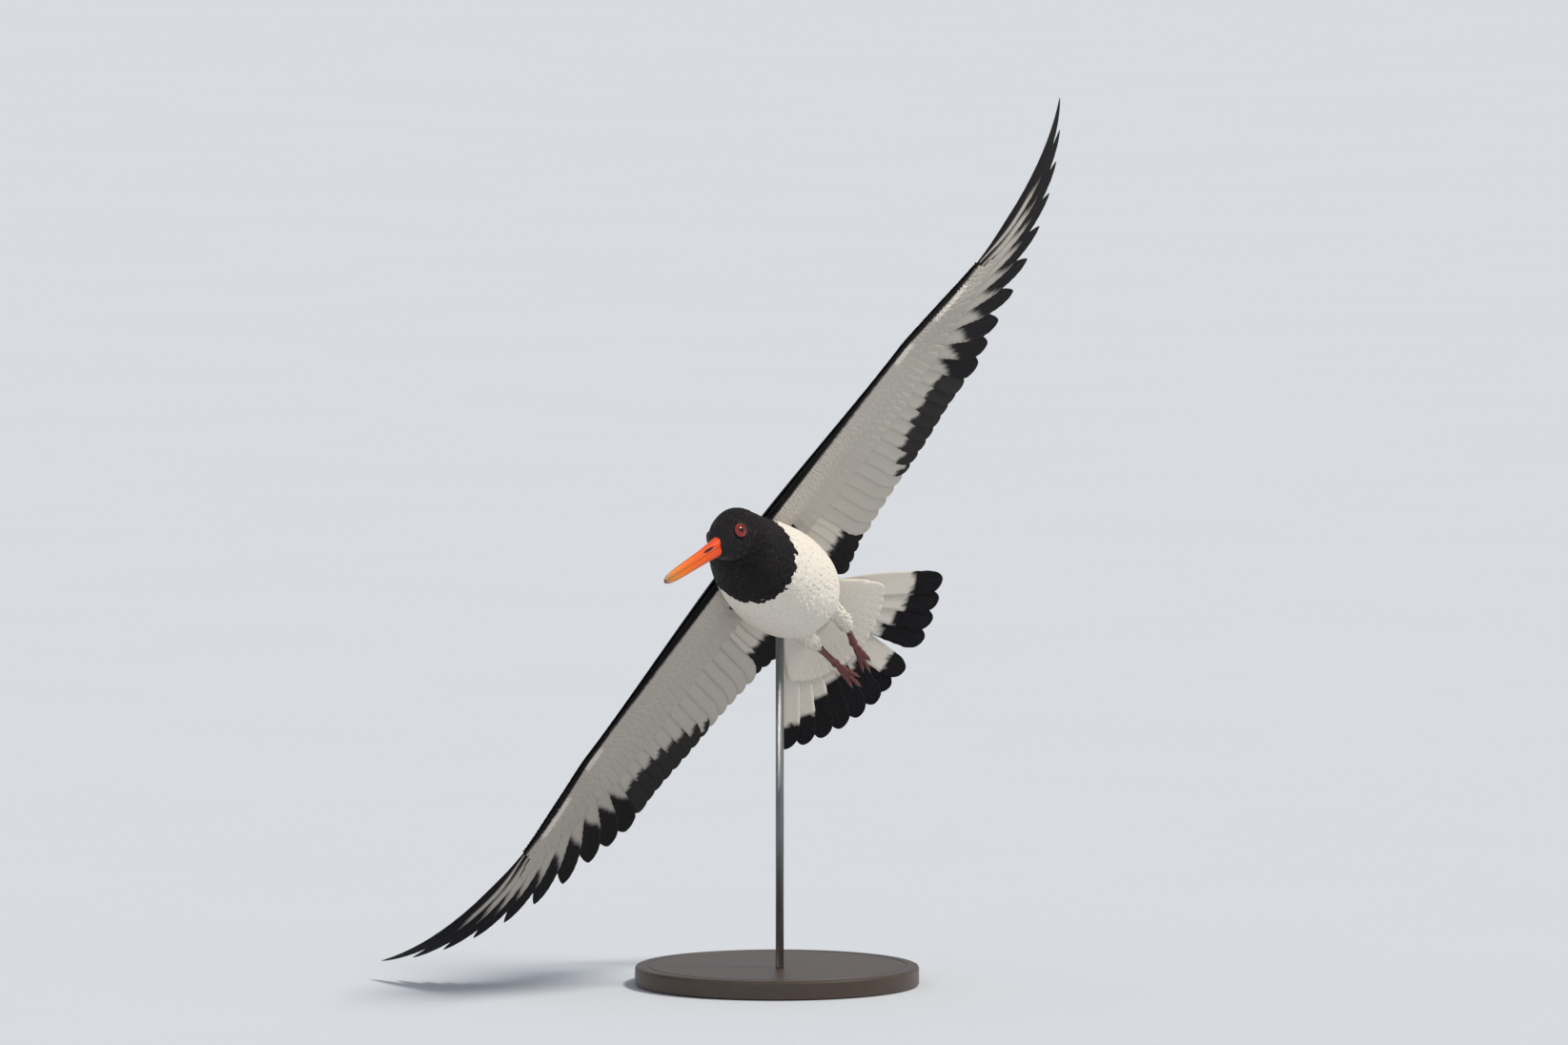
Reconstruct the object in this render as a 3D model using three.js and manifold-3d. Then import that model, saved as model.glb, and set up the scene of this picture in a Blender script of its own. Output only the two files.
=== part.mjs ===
// A Eurasian oystercatcher, life size, banking in flight with its belly turned to the viewer,
// wings and tail spread, held by one rod on a round base. Millimetres, +Z up, origin at the
// centre of the base's underside. The front, seen along +Y, is the side that shows the belly.
import * as THREE from 'three';
import { mergeVertices } from 'three/addons/utils/BufferGeometryUtils.js';
import Module from 'manifold-3d';

const wasm = await Module();
wasm.setup();

const GAP = 0.3; // clearance between neighbouring pieces

// Attitude of the bird, in degrees, and where its shoulder line is above the base.
const VIEW_DOWN = 5; // the viewer stands a little above the base and looks down by this
const BANK = 52; // the left wing is up
const CLIMB = 27; // how far the belly is turned up towards the viewer
const SHOULDER_AT = new THREE.Vector3(-26, -45, 325);

// The stand.
const BASE_RADIUS = 105;
const BASE_HEIGHT = 14;
const BASE_CHAMFER = 2;
const ROD_RADIUS = 3;
const ROD_FOOT = new THREE.Vector3(2, -18, 5); // the rod's lower end, sunk in the base
const ROD_TOP = 273; // in the belly, whose lowest point is about 16 lower

// The wing laid flat: "out" runs from the bird's middle to the tip, "forward" is along the body.
const WING_ROOT = 22;
const WRIST = 190;
const HALF_SPAN = 430;
const SHOULDER_Z = -1.2;
const CURL_FROM = 170; // out to here the wing is straight, from here it bends up
const CURL_POWER = 1.53;
const ARM_CAMBER = 5;
const WASH_FROM = 120; // from here out the rear edge rises, fully from WASH_FULL
const WASH_FULL = 270;
const WINGS = {
  left: { side: 1, armSlope: -3, tipCurl: 52, wash: 0.09 },
  right: { side: -1, armSlope: -4.3, tipCurl: 60, wash: 0.05 },
};

// Feathers: thin vanes that lie over each other like tiles and meet only at their roots.
const VANE_THICKNESS = 0.55;
const VANE_STEP = 0.95; // from the middle of one vane to the middle of the next, where they overlap
const TERTIALS = 4;
const SECONDARIES = 13;
const PRIMARIES = 10;

const clamp = (x, low = 0, high = 1) => Math.min(high, Math.max(low, x));
const mix = (a, b, t) => a + (b - a) * t;
const smooth = (low, high, x) => THREE.MathUtils.smoothstep(x, low, high);
const rad = THREE.MathUtils.degToRad;
const point = (x, y, z) => new THREE.Vector3(x, y, z);

// Rows of numbers as one smooth curve: the row at q, with q from 0 to 1.
function alongRows(rows, q) {
  const place = clamp(q) * (rows.length - 1);
  const i = Math.min(rows.length - 2, Math.floor(place));
  const t = place - i;
  const at = (k) => rows[clamp(k, 0, rows.length - 1)];
  return rows[0].map((_, n) => {
    const [p0, p1, p2, p3] = [at(i - 1)[n], at(i)[n], at(i + 1)[n], at(i + 2)[n]];
    const v1 = (p2 - p0) / 2;
    const v2 = (p3 - p1) / 2;
    return p1 + v1 * t + (3 * (p2 - p1) - 2 * v1 - v2) * t * t + (2 * (p1 - p2) + v1 + v2) * t * t * t;
  });
}

// Moves each vertex of a closed geometry to where place(vertex) says.
function shaped(geometry, place) {
  const position = geometry.getAttribute('position');
  for (let i = 0; i < position.count; i++) {
    const moved = place(point(position.getX(i), position.getY(i), position.getZ(i)));
    position.setXYZ(i, moved.x, moved.y, moved.z);
  }
  return geometry;
}

// A closed geometry as a solid, turned the right way out where a mirrored piece isn't.
function solid(geometry) {
  geometry.deleteAttribute('normal');
  geometry.deleteAttribute('uv');
  const merged = mergeVertices(geometry, 1e-4);
  const corners = new Uint32Array(merged.index.array);
  const build = () => new wasm.Manifold(new wasm.Mesh({
    numProp: 3,
    vertProperties: new Float32Array(merged.getAttribute('position').array),
    triVerts: corners,
  }));
  const first = build();
  if (first.volume() > 0) return first;
  for (let i = 0; i < corners.length; i += 3) {
    [corners[i + 1], corners[i + 2]] = [corners[i + 2], corners[i + 1]];
  }
  return build();
}

// The largest closed surface of a solid, without scraps.
function largest(joined) {
  const pieces = joined.decompose();
  return pieces.reduce((best, piece) => (piece.volume() > best.volume() ? piece : best));
}

function meshOf(piece, name, material) {
  const { vertProperties, triVerts } = largest(piece).getMesh();
  const geometry = new THREE.BufferGeometry();
  geometry.setAttribute('position', new THREE.BufferAttribute(vertProperties, 3));
  geometry.setIndex(new THREE.BufferAttribute(triVerts, 1));
  geometry.computeVertexNormals();
  const mesh = new THREE.Mesh(geometry, material);
  mesh.name = name;
  return mesh;
}

// A thin closed plate, split into the same triangles on both faces.
// place(u, t, face) gives a point: u from -1 to 1 across, t from 0 to 1 along, face 1 or -1.
function plate(columns, rows, place) {
  const sheet = new THREE.PlaneGeometry(2, 1, columns, rows);
  const grid = sheet.getAttribute('position');
  const faces = sheet.index.array;
  const points = [];
  [1, -1].forEach((face) => {
    for (let i = 0; i < grid.count; i++) {
      points.push(...place(grid.getX(i), grid.getY(i) + 0.5, face).toArray());
    }
  });
  const index = [];
  for (let i = 0; i < faces.length; i += 3) {
    const [a, b, c] = [faces[i], faces[i + 1], faces[i + 2]];
    index.push(a, b, c, a + grid.count, c + grid.count, b + grid.count);
  }
  const wide = columns + 1;
  const rim = [];
  for (let i = 0; i < columns; i++) rim.push(i);
  for (let j = 0; j < rows; j++) rim.push(j * wide + columns);
  for (let i = columns; i > 0; i--) rim.push(rows * wide + i);
  for (let j = rows; j > 0; j--) rim.push(j * wide);
  rim.forEach((a, k) => {
    const b = rim[(k + 1) % rim.length];
    index.push(a, b, b + grid.count, a, b + grid.count, a + grid.count);
  });
  const geometry = new THREE.BufferGeometry();
  geometry.setAttribute('position', new THREE.BufferAttribute(new Float32Array(points), 3));
  geometry.setIndex(index);
  return solid(geometry);
}

// A rounded body along X: rows of [x, y, middle z, half width, height above, depth below].
function bodyOf(rows, around, along, grow = 0) {
  return solid(shaped(new THREE.SphereGeometry(1, around, along), (v) => {
    const turn = Math.atan2(v.z, v.x);
    const pole = Math.abs(v.y) > 0.99999;
    const [x, y, middle, half, above, below] = alongRows(rows, Math.acos(clamp(-v.y, -1, 1)) / Math.PI);
    if (pole) return point(x + grow * Math.sign(v.y), y, middle);
    const tall = Math.sin(turn) > 0 ? above : below;
    return point(x, y + (half + grow) * Math.cos(turn), middle + (tall + grow) * Math.sin(turn));
  }));
}

// A limb along a bent line: rows of [x, y, z, radius].
function limb(rows, around, along) {
  return solid(shaped(new THREE.SphereGeometry(1, around, along), (v) => {
    const q = Math.acos(clamp(-v.y, -1, 1)) / Math.PI;
    const [x, y, z, radius] = alongRows(rows, q);
    const behind = point(...alongRows(rows, q - 0.01));
    const ahead = point(...alongRows(rows, q + 0.01)).sub(behind).normalize();
    if (Math.abs(v.y) > 0.99999) return point(x, y, z);
    const across = point(0, 1, 0).cross(ahead).normalize();
    const other = ahead.clone().cross(across);
    const turn = Math.atan2(v.z, v.x);
    return point(x, y, z)
      .addScaledVector(across, radius * Math.cos(turn))
      .addScaledVector(other, radius * Math.sin(turn));
  }));
}

const slab = (fromX, toX) => solid(
  new THREE.BoxGeometry(toX - fromX, 400, 400).translate((fromX + toX) / 2, 0, 0),
);
const ball = (centre, radius, grow = 0) => solid(
  new THREE.SphereGeometry(radius + grow, 14, 10).translate(centre.x, centre.y, centre.z),
);

const materials = {
  black: new THREE.MeshStandardMaterial({ name: 'black_plumage', color: 0x17151a, roughness: 0.75 }),
  white: new THREE.MeshStandardMaterial({ name: 'white_plumage', color: 0xe9e4da, roughness: 0.8 }),
  bill: new THREE.MeshStandardMaterial({ name: 'bill_horn', color: 0xe8501c, roughness: 0.35 }),
  eye: new THREE.MeshStandardMaterial({ name: 'eye_glass', color: 0x8c1208, roughness: 0.08 }),
  lid: new THREE.MeshStandardMaterial({ name: 'eyelid_skin', color: 0xd8401a, roughness: 0.5 }),
  leg: new THREE.MeshStandardMaterial({ name: 'leg_skin', color: 0xb8685c, roughness: 0.6 }),
  wood: new THREE.MeshStandardMaterial({ name: 'stand_wood', color: 0x2a2320, roughness: 0.5 }),
  steel: new THREE.MeshStandardMaterial({
    name: 'stand_steel', color: 0x9a9da1, roughness: 0.3, metalness: 1,
  }),
};

const bird = new THREE.Group();
const add = (piece, name, material) => bird.add(meshOf(piece, name, material));

// Trunk: tail base, torso and neck are one form, parted by two narrow joints.
const TRUNK = [
  [-155, 0, -14, 0, 0, 0], [-149, 0, -12, 14, 3, 5], [-132, 0, -5, 23, 8, 14], [-110, 0, -4, 29, 15, 25],
  [-84, 0, -12, 34, 24, 36], [-55, 0, -20, 39, 32, 45], [-25, 0, -24, 40.5, 36, 45], [5, 0, -25, 38, 35, 40],
  [30, 0.5, -24, 33, 31, 36], [48, 2, -24, 29, 27, 31], [62, 4, -24, 25.5, 24, 27],
  [71, 5.5, -24, 20, 19, 21], [76.5, 6, -24, 12, 12, 13], [78, 6, -24, 0, 0, 0],
];
const TAIL_JOINT = -116;
const HOOD_EDGE = 31; // where the black of the neck meets the white of the belly
const trunk = bodyOf(TRUNK, 26, 26);
const trunkRoom = bodyOf(TRUNK, 26, 26, GAP);
const tailBase = trunk.intersect(slab(-200, TAIL_JOINT - GAP));

// Head, in its own frame: x along the bill, z through the crown.
const HEAD_AT = point(77, 5.2, -26.4);
const HEAD_TURN = [-46, 11, -36]; // degrees: rolled upright, bill down, turned to the right
const HEAD = [
  [-27, 0, 0, 0, 0, 0], [-26, 0, 0, 8, 8.5, 10], [-19, 0, 0, 14.5, 15.5, 16], [-8, 0, 1, 17.5, 19, 19],
  [5, 0, 0.5, 17, 18.5, 18], [15, 0, 0, 13.7, 14.5, 14.5], [22, 0, -1, 9.5, 8.5, 10],
  [27, 0, -1.5, 6, 5.5, 6.5], [28.5, 0, -1.5, 0, 0, 0],
];
const EYE_AT = point(8, 11.6, 4);
const EYE_RADIUS = 5.2;
const EYE_AXIS = point(0.25, 0.95, 0.18).normalize();
const LID_RADIUS = 5.5;
const LID_TUBE = 0.9;
const LID_FORWARD = 3.3; // from the middle of the eye to the plane of the lid's ring
const BILL = [ // [x, y, middle, half width, above, below]
  [20, 0, 0, 5.6, 6.6, 6.6], [31, 0, 0, 5, 5.8, 6.2], [43, 0, 0, 3.9, 5, 5.4], [58, 0, 0, 3.1, 4.5, 4.9],
  [72, 0, 0, 2.6, 4.2, 4.5], [84, 0, 0, 2.1, 3.7, 3.9], [93, 0, 0, 1.5, 2.7, 2.8], [98, 0, 0, 0.8, 1.3, 1.3],
];
const NOSTRIL = { at: point(39, 4.9, 2.2), half: point(6, 1.1, 0.8) };

const headPlace = new THREE.Matrix4().compose(
  HEAD_AT,
  new THREE.Quaternion().setFromEuler(new THREE.Euler(...HEAD_TURN.map(rad), 'ZYX')),
  point(1, 1, 1),
);
const inHead = (piece) => piece.transform([...headPlace.elements]);
const mirrored = (v, side) => point(v.x, side * v.y, v.z);

// A geometry about the Z axis, set on the axis of an eye and out from its middle.
function onEye(geometry, side, out) {
  const axis = mirrored(EYE_AXIS, side);
  geometry.applyQuaternion(new THREE.Quaternion().setFromUnitVectors(point(0, 0, 1), axis));
  const at = mirrored(EYE_AT, side).addScaledVector(axis, out);
  return solid(geometry.translate(at.x, at.y, at.z));
}
const lidRing = (side) => onEye(new THREE.TorusGeometry(LID_RADIUS, LID_TUBE, 6, 20), side, LID_FORWARD);

// The hollow in the head for an eye and the ring of its lids.
function socket(side) {
  const radius = LID_RADIUS + LID_TUBE + GAP;
  const depth = 8;
  const recess = new THREE.CylinderGeometry(radius, radius, depth, 20).rotateX(Math.PI / 2);
  const floor = LID_FORWARD - LID_TUBE - GAP;
  return onEye(recess, side, floor + depth / 2).add(ball(mirrored(EYE_AT, side), EYE_RADIUS, GAP));
}

function billHalf(which) {
  const whole = solid(shaped(new THREE.CylinderGeometry(1, 1, 1, 14, 12), (v) => {
    const [x, , , half, above, below] = alongRows(BILL, v.y + 0.5);
    const ring = Math.hypot(v.x, v.z);
    const turn = Math.atan2(v.z, v.x);
    return point(x, ring * half * Math.cos(turn), ring * (turn > 0 ? above : below) * Math.sin(turn));
  }));
  const block = solid(new THREE.BoxGeometry(200, 40, 40).translate(60, 0, which * (20 + GAP / 2)));
  return whole.intersect(block);
}

const nostril = (side) => {
  const { at, half } = NOSTRIL;
  const pit = new THREE.SphereGeometry(1, 10, 6).scale(half.x, half.y, half.z);
  return solid(pit.translate(at.x, side * at.y, at.z));
};

const sides = Object.entries(WINGS).map(([name, wing]) => ({ name, ...wing }));
const headForm = bodyOf(HEAD, 22, 16);
const headRoom = bodyOf(HEAD, 22, 16, GAP);
const sockets = sides.map(({ side }) => socket(side));
add(inHead(sockets.reduce((head, hollow) => head.subtract(hollow), headForm)), 'head', materials.black);
sides.forEach(({ name, side }) => {
  add(inHead(ball(mirrored(EYE_AT, side), EYE_RADIUS)), `eye_${name}`, materials.eye);
  add(inHead(lidRing(side)), `eyelid_${name}`, materials.lid);
});
const upperBill = sides.reduce((bill, { side }) => bill.subtract(nostril(side)), billHalf(1));
add(inHead(upperBill.subtract(headRoom)), 'bill_upper', materials.bill);
add(inHead(billHalf(-1).subtract(headRoom)), 'bill_lower', materials.bill);

const headInBird = inHead(headRoom);
const neck = trunk.intersect(slab(HOOD_EDGE + GAP, 200)).subtract(headInBird);
add(sockets.reduce((rest, hollow) => rest.subtract(inHead(hollow)), neck), 'neck', materials.black);

// Wings.
function spanLine({ armSlope, tipCurl }) {
  const slope = (out) => rad(armSlope
    + tipCurl * clamp((out - CURL_FROM) / (HALF_SPAN - CURL_FROM), 0, 1.1) ** CURL_POWER);
  const line = [[0, SHOULDER_Z]];
  for (let out = 1; out <= HALF_SPAN + 20; out++) {
    const [y, z] = line[out - 1];
    line.push([y + Math.cos(slope(out - 0.5)), z + Math.sin(slope(out - 0.5))]);
  }
  return { line, slope };
}

const frontEdge = (out) => 8 + (clamp(out, 28, WRIST) - 28) * 0.086
  - 103 * clamp((out - WRIST) / (HALF_SPAN - WRIST), 0, 1.1) ** 1.5;
const REAR_EDGE = [-142, -128, -117, -110, -104, -106, -97, -86, -80, -78, -79, -86].map((x) => [x]);
const rearEdge = (out) => alongRows(REAR_EDGE, (out - 40) / (HALF_SPAN - 40))[0];

// The wing's surface: a point out along the span, forward, and up off the middle of the wing.
function wingSurface({ side, wash, ...bend }) {
  const { line, slope } = spanLine(bend);
  return (out, forward, up) => {
    const i = clamp(Math.floor(out), 0, line.length - 2);
    const back = Math.max(0, frontEdge(out) - forward);
    const share = clamp(back / (frontEdge(out) - rearEdge(out)));
    const arm = 1 - smooth(150, 330, out);
    const camber = 4 * ARM_CAMBER * share * (1 - share) * arm;
    const lift = up + camber + wash * smooth(WASH_FROM, WASH_FULL, out) * back;
    const y = mix(line[i][0], line[i + 1][0], out - i) - Math.sin(slope(out)) * lift;
    const z = mix(line[i][1], line[i + 1][1], out - i) + Math.cos(slope(out)) * lift;
    return point(forward, side * y, z);
  };
}

// A feather's shaft, laid flat: x out along the span, y forward. It bows towards the wing's front.
function quill(root, tip, bow) {
  const chord = tip.clone().sub(root);
  const across = new THREE.Vector2(-chord.y, chord.x).normalize();
  const at = (t) => root.clone().addScaledVector(chord, t)
    .addScaledVector(across, 4 * bow * clamp(t) * (1 - clamp(t)));
  const aside = (spot) => {
    const t = spot.clone().sub(root).dot(chord) / chord.lengthSq();
    return spot.clone().sub(at(t)).dot(across);
  };
  return { at, across, aside };
}

const FARTHEST = 3; // neighbours that one vane can lie over

// How many feathers out from feather k a spot lies, counted in shafts and parts of the gap between.
function stepsOut(quills, k, spot) {
  let n = Math.min(k, quills.length - 2);
  while (n < quills.length - 2 && quills[n + 1].aside(spot) > 0) n++;
  while (n > 0 && quills[n].aside(spot) < 0) n--;
  const near = quills[n].aside(spot);
  return clamp(n - k + near / (near - quills[n + 1].aside(spot)), -FARTHEST, FARTHEST);
}

// Outlines: [share of the length, share of the width].
const ROUND_TIP = [
  [0, 0.22], [0.14, 0.7], [0.3, 0.97], [0.48, 1], [0.66, 1], [0.82, 0.94], [0.93, 0.74],
  [0.985, 0.42], [1, 0.12],
];
const POINTED_TIP = [
  [0, 0.22], [0.1, 0.5], [0.2, 0.85], [0.3, 0.97], [0.4, 1], [0.5, 1], [0.6, 0.94], [0.7, 0.86],
  [0.8, 0.74], [0.89, 0.57], [0.96, 0.34], [1, 0.1],
];
const SHORT_TIP = [
  [0, 0.22], [0.2, 0.9], [0.45, 1], [0.7, 0.98], [0.88, 0.82], [0.97, 0.5], [1, 0.14],
];
const COVERT_TIP = [[0, 0.3], [0.38, 0.95], [0.75, 0.95], [0.94, 0.58], [1, 0.14]];

// A vane on its shaft. Its outer edge rides up and its inner edge dips, by one step a neighbour.
function vane(quills, k, { outer, inner, outline, lift, place }) {
  const rows = outline.length - 1;
  return plate(1, rows, (u, t, face) => {
    const [along, width] = outline[Math.round(t * rows)];
    const spot = quills[k].at(along).addScaledVector(quills[k].across, width * (u > 0 ? outer : -inner));
    const up = lift + VANE_STEP * stepsOut(quills, k, spot) + face * VANE_THICKNESS / 2;
    return place(spot.x, spot.y, up);
  });
}

const flat = (out, forward) => new THREE.Vector2(out, forward);
const PRIMARY_TIPS = [
  [216, -110], [233, -104], [252, -98], [277, -92], [303, -86], [329, -82], [355, -80], [380, -80],
  [405, -81], [431, -83],
];
const PRIMARY_ROOTS = [
  [192, -3], [200, -4], [209, -5], [218, -6], [227, -7], [235, -7], [243, -6.5], [251, -5], [259, -2.5],
  [267, 0.5],
];
const PRIMARY_BOWS = [2, 2.5, 3, 3.5, 4, 4.5, 5, 5, 5, 5.5];
const PRIMARY_OUTER = [7, 7, 7, 7, 7, 6.5, 6, 5.5, 5, 4];
const PRIMARY_INNER = [15, 16, 17, 17, 17, 16, 15, 14, 12, 10];

const ROOT_BACK = 27; // from the front edge of the arm back to the roots in it

// The flight feathers from the innermost tertial out to the last primary.
function flightFeathers() {
  const feathers = [];
  for (let k = 0; k < TERTIALS; k++) {
    const t = k / (TERTIALS - 1);
    const root = mix(36, 54, t);
    feathers.push({
      root: flat(root, frontEdge(root) - ROOT_BACK), tip: flat(mix(37, 62, t), mix(-150, -133, t)),
      bow: 2, outer: 8, inner: 9, outline: SHORT_TIP,
    });
  }
  for (let k = 0; k < SECONDARIES; k++) {
    const t = k / (SECONDARIES - 1);
    const root = mix(62, 184, t);
    const tip = mix(72, 198, t);
    feathers.push({
      root: flat(root, frontEdge(root) - ROOT_BACK), tip: flat(tip, rearEdge(tip) - 2),
      bow: 2, outer: 7, inner: 13, outline: SHORT_TIP,
    });
  }
  for (let k = 0; k < PRIMARIES; k++) {
    feathers.push({
      root: flat(...PRIMARY_ROOTS[k]), tip: flat(...PRIMARY_TIPS[k]),
      bow: PRIMARY_BOWS[k], outer: PRIMARY_OUTER[k], inner: PRIMARY_INNER[k],
      outline: k < 5 ? ROUND_TIP : POINTED_TIP,
    });
  }
  return feathers;
}
const FLIGHT = flightFeathers();
const flightQuills = FLIGHT.map(({ root, tip, bow }) => quill(root, tip, bow));

// Greater coverts lie over the bases of the flight feathers, above and below the wing.
const COVERTS = 13;
const COVERT_TIERS = [
  { lift: 2.9, reach: 0.46, handReach: 0.36 },
  { lift: -3.3, reach: 0.4, handReach: 0.33 },
];
function covertQuills({ reach, handReach }) {
  const last = FLIGHT.length - 4.4;
  return Array.from({ length: COVERTS }, (_, n) => {
    const place = mix(1.5, last, n / (COVERTS - 1));
    const k = Math.floor(place);
    const at = (t) => flightQuills[k].at(t).lerp(flightQuills[k + 1].at(t), place - k);
    const onHand = smooth(TERTIALS + SECONDARIES - 3, FLIGHT.length - 4, place);
    return quill(at(0), at(mix(reach, handReach, onHand)), 0.5);
  });
}

// The covert-clad front of the wing: a flattened form with a blunt back that all vanes root in.
const CORE_END = 274;
const CORE_BACK = 42;
const CORE_HAND_BACK = 24;
const CORE_TOP = 3.7;
const CORE_BOTTOM = 4.3;
function wingCore(place) {
  return plate(6, 18, (u, t, face) => {
    const out = mix(WING_ROOT, CORE_END, t);
    const share = (u + 1) / 2;
    const deep = mix(CORE_BACK, CORE_HAND_BACK, smooth(150, 240, out));
    const round = Math.sqrt(clamp(share * 3));
    const shoulder = 5 * (1 - smooth(30, 180, out)) * Math.sin(Math.PI * clamp(share * 0.9 + 0.1));
    const end = mix(1, 0.45, smooth(230, CORE_END, out));
    const half = (face > 0 ? CORE_TOP : CORE_BOTTOM) * end * mix(0.28, 1, round) + shoulder;
    return place(out, frontEdge(out) - deep * share, face * half);
  });
}

function featheredWing(wing) {
  const place = wingSurface(wing);
  const flight = FLIGHT.map((feather, k) => vane(flightQuills, k, { ...feather, lift: 0, place }));
  const coverts = COVERT_TIERS.flatMap((tier) => {
    const quills = covertQuills(tier);
    return quills.map((_, k) => vane(quills, k, {
      outer: 7, inner: 9, outline: COVERT_TIP, lift: tier.lift, place,
    }));
  });
  return wasm.Manifold.union([wingCore(place), ...flight, ...coverts]);
}

// Tail: a fan about one point, in the plane of the tail.
const FAN_AT = point(-109, 0, 8.4);
const FAN_BACK = point(-0.899, 0, -0.438);
const FAN_UP = point(-0.438, 0, 0.899);
const FAN_RIGHT = -46; // degrees towards the bird's left, the outermost shafts
const FAN_LEFT = 34;
const FAN_SLIT = 12; // between the two shafts on either side of the slit
const SLIT_AFTER = 7; // counted from the bird's right
const TAIL_FEATHERS = 12;
const TAIL_ROOT = 15;
const TAIL_REACH = 136;
const TAIL_OUTER = 7.5; // widths of the webs to each side of the shaft
const TAIL_INNER = 11.5;
const TAIL_STEP = 1;

function onFan(reach, degrees, up) {
  return FAN_AT.clone()
    .addScaledVector(FAN_BACK, reach * Math.cos(rad(degrees)))
    .addScaledVector(point(0, 1, 0), reach * Math.sin(rad(degrees)))
    .addScaledVector(FAN_UP, up);
}

const fanSpacing = (FAN_LEFT - FAN_RIGHT - FAN_SLIT) / (TAIL_FEATHERS - 2);
const fanAngles = Array.from({ length: TAIL_FEATHERS }, (_, k) => (
  FAN_RIGHT + k * fanSpacing + (k > SLIT_AFTER ? FAN_SLIT - fanSpacing : 0)
));

// The shaft number, with parts, that a direction of the fan falls on.
function fanRank(degrees) {
  let k = 0;
  while (k < TAIL_FEATHERS - 2 && fanAngles[k + 1] < degrees) k++;
  return k + (degrees - fanAngles[k]) / (fanAngles[k + 1] - fanAngles[k]);
}

const TAIL_TIP = [
  [0, 0.16], [0.22, 0.48], [0.44, 0.9], [0.68, 1], [0.88, 0.95], [0.96, 0.74], [0.992, 0.42], [1, 0.14],
];

// The two middle feathers lie on top, each next one half under its inner neighbour.
function fanVane(k, { from, reach, outer, inner, outline, lift }) {
  const middle = (TAIL_FEATHERS - 1) / 2;
  const leftHalf = k > middle;
  const rows = outline.length - 1;
  return plate(1, rows, (u, t, face) => {
    const [along, width] = outline[Math.round(t * rows)];
    const aside = (u > 0) === leftHalf ? outer : inner;
    const radius = mix(from, reach, along);
    const swing = THREE.MathUtils.radToDeg(Math.atan2(width * aside * u, radius));
    const rank = fanRank(fanAngles[k] + swing);
    const tuck = Math.abs(rank - middle) - Math.abs(k - middle);
    const over = Math.round(k - middle) === 1 ? 1.3 : 0;
    return onFan(radius, fanAngles[k] + swing, lift + over + TAIL_STEP * tuck + face * VANE_THICKNESS / 2);
  });
}

const tailVanes = fanAngles.map((_, k) => fanVane(k, {
  from: TAIL_ROOT, reach: TAIL_REACH - 0.06 * Math.abs(k - 5.5) ** 2, outer: TAIL_OUTER, inner: TAIL_INNER,
  outline: TAIL_TIP, lift: 0,
}));
const UNDERTAIL = { from: TAIL_ROOT + 4, outer: 10, inner: 12, outline: COVERT_TIP, lift: -4.6 };
const UPPERTAIL = { from: TAIL_ROOT + 4, outer: 10, inner: 12, outline: COVERT_TIP, lift: 4.8 };
const tailCoverts = [1, 3, 5, 7, 9].flatMap((k) => [
  fanVane(k, { ...UNDERTAIL, reach: 84 - 2 * Math.abs(k - 5) }),
  fanVane(k, { ...UPPERTAIL, reach: 66 - 2 * Math.abs(k - 5) }),
]);
add(wasm.Manifold.union([tailBase, ...tailVanes, ...tailCoverts]), 'tail', materials.white);

// The room the tail needs, kept clear by the wings' inner feathers.
const tailRoom = plate(8, 4, (u, t, face) => onFan(
  mix(TAIL_ROOT, TAIL_REACH, t),
  mix(FAN_RIGHT - 8, FAN_LEFT + 8, (u + 1) / 2),
  face * mix(6.5, 2.6, t),
));

sides.forEach((wing) => {
  add(featheredWing(wing).subtract(trunkRoom).subtract(tailRoom), `wing_${wing.name}`, materials.white);
});

// Legs, stretched back under the tail: shin, three toes, no hind toe.
const LEGS = {
  left: { hip: [-84, 9, -40], ankle: [-106, 8, -45], toes: [-146, -3, -46], aim: [-38, -9, -6] },
  right: { hip: [-84, -19, -38], ankle: [-106, -21, -44], toes: [-144, -23, -46], aim: [-40, -2, -7] },
};
const TOES = [ // [length as a share of the middle toe's, swing to the bird's left at the tip]
  [0.82, -4.5], [1, 0], [0.8, 4.5],
];

const between = (a, b, t) => a.map((value, n) => mix(value, b[n], t));

function legOf({ hip, ankle, toes, aim }) {
  const shin = limb([
    [...hip, 4.2], [...hip, 4.2], [...ankle, 3.4], [...between(ankle, toes, 0.3), 2.5],
    [...between(ankle, toes, 0.8), 2.4], [...toes, 3.1], [...between(ankle, toes, 1.08), 0],
  ], 8, 11);
  return TOES.reduce((leg, [share, swing]) => {
    const tip = [toes[0] + aim[0] * share, toes[1] + aim[1] * share + swing, toes[2] + aim[2] * share];
    const at = (t, rise, radius) => {
      const [x, y, z] = between(toes, tip, t);
      return [x, y, z + rise, radius];
    };
    return leg.add(limb([
      at(-0.1, 0, 0), at(0, 0.2, 2.2), at(0.3, -0.4, 1.9), at(0.6, -0.6, 1.7),
      at(0.85, -0.3, 1.5), at(0.95, 0.4, 1), at(1.08, 1.4, 0),
    ], 6, 9));
  }, shin);
}
Object.entries(LEGS).forEach(([name, leg]) => {
  add(legOf(leg).subtract(trunkRoom), `leg_${name}`, materials.leg);
});

// Pose: heading at the viewer, belly up, banked, and tipped by the viewer's own tilt.
const turned = (axis, degrees, child) => {
  const group = new THREE.Group();
  group.rotation[axis] = rad(degrees);
  group.add(child);
  return group;
};
const posed = turned('x', -VIEW_DOWN, turned('y', -BANK, turned('x', -CLIMB, turned('z', -90, bird))));
posed.position.copy(SHOULDER_AT);

const part = new THREE.Group();
part.add(posed);

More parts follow.
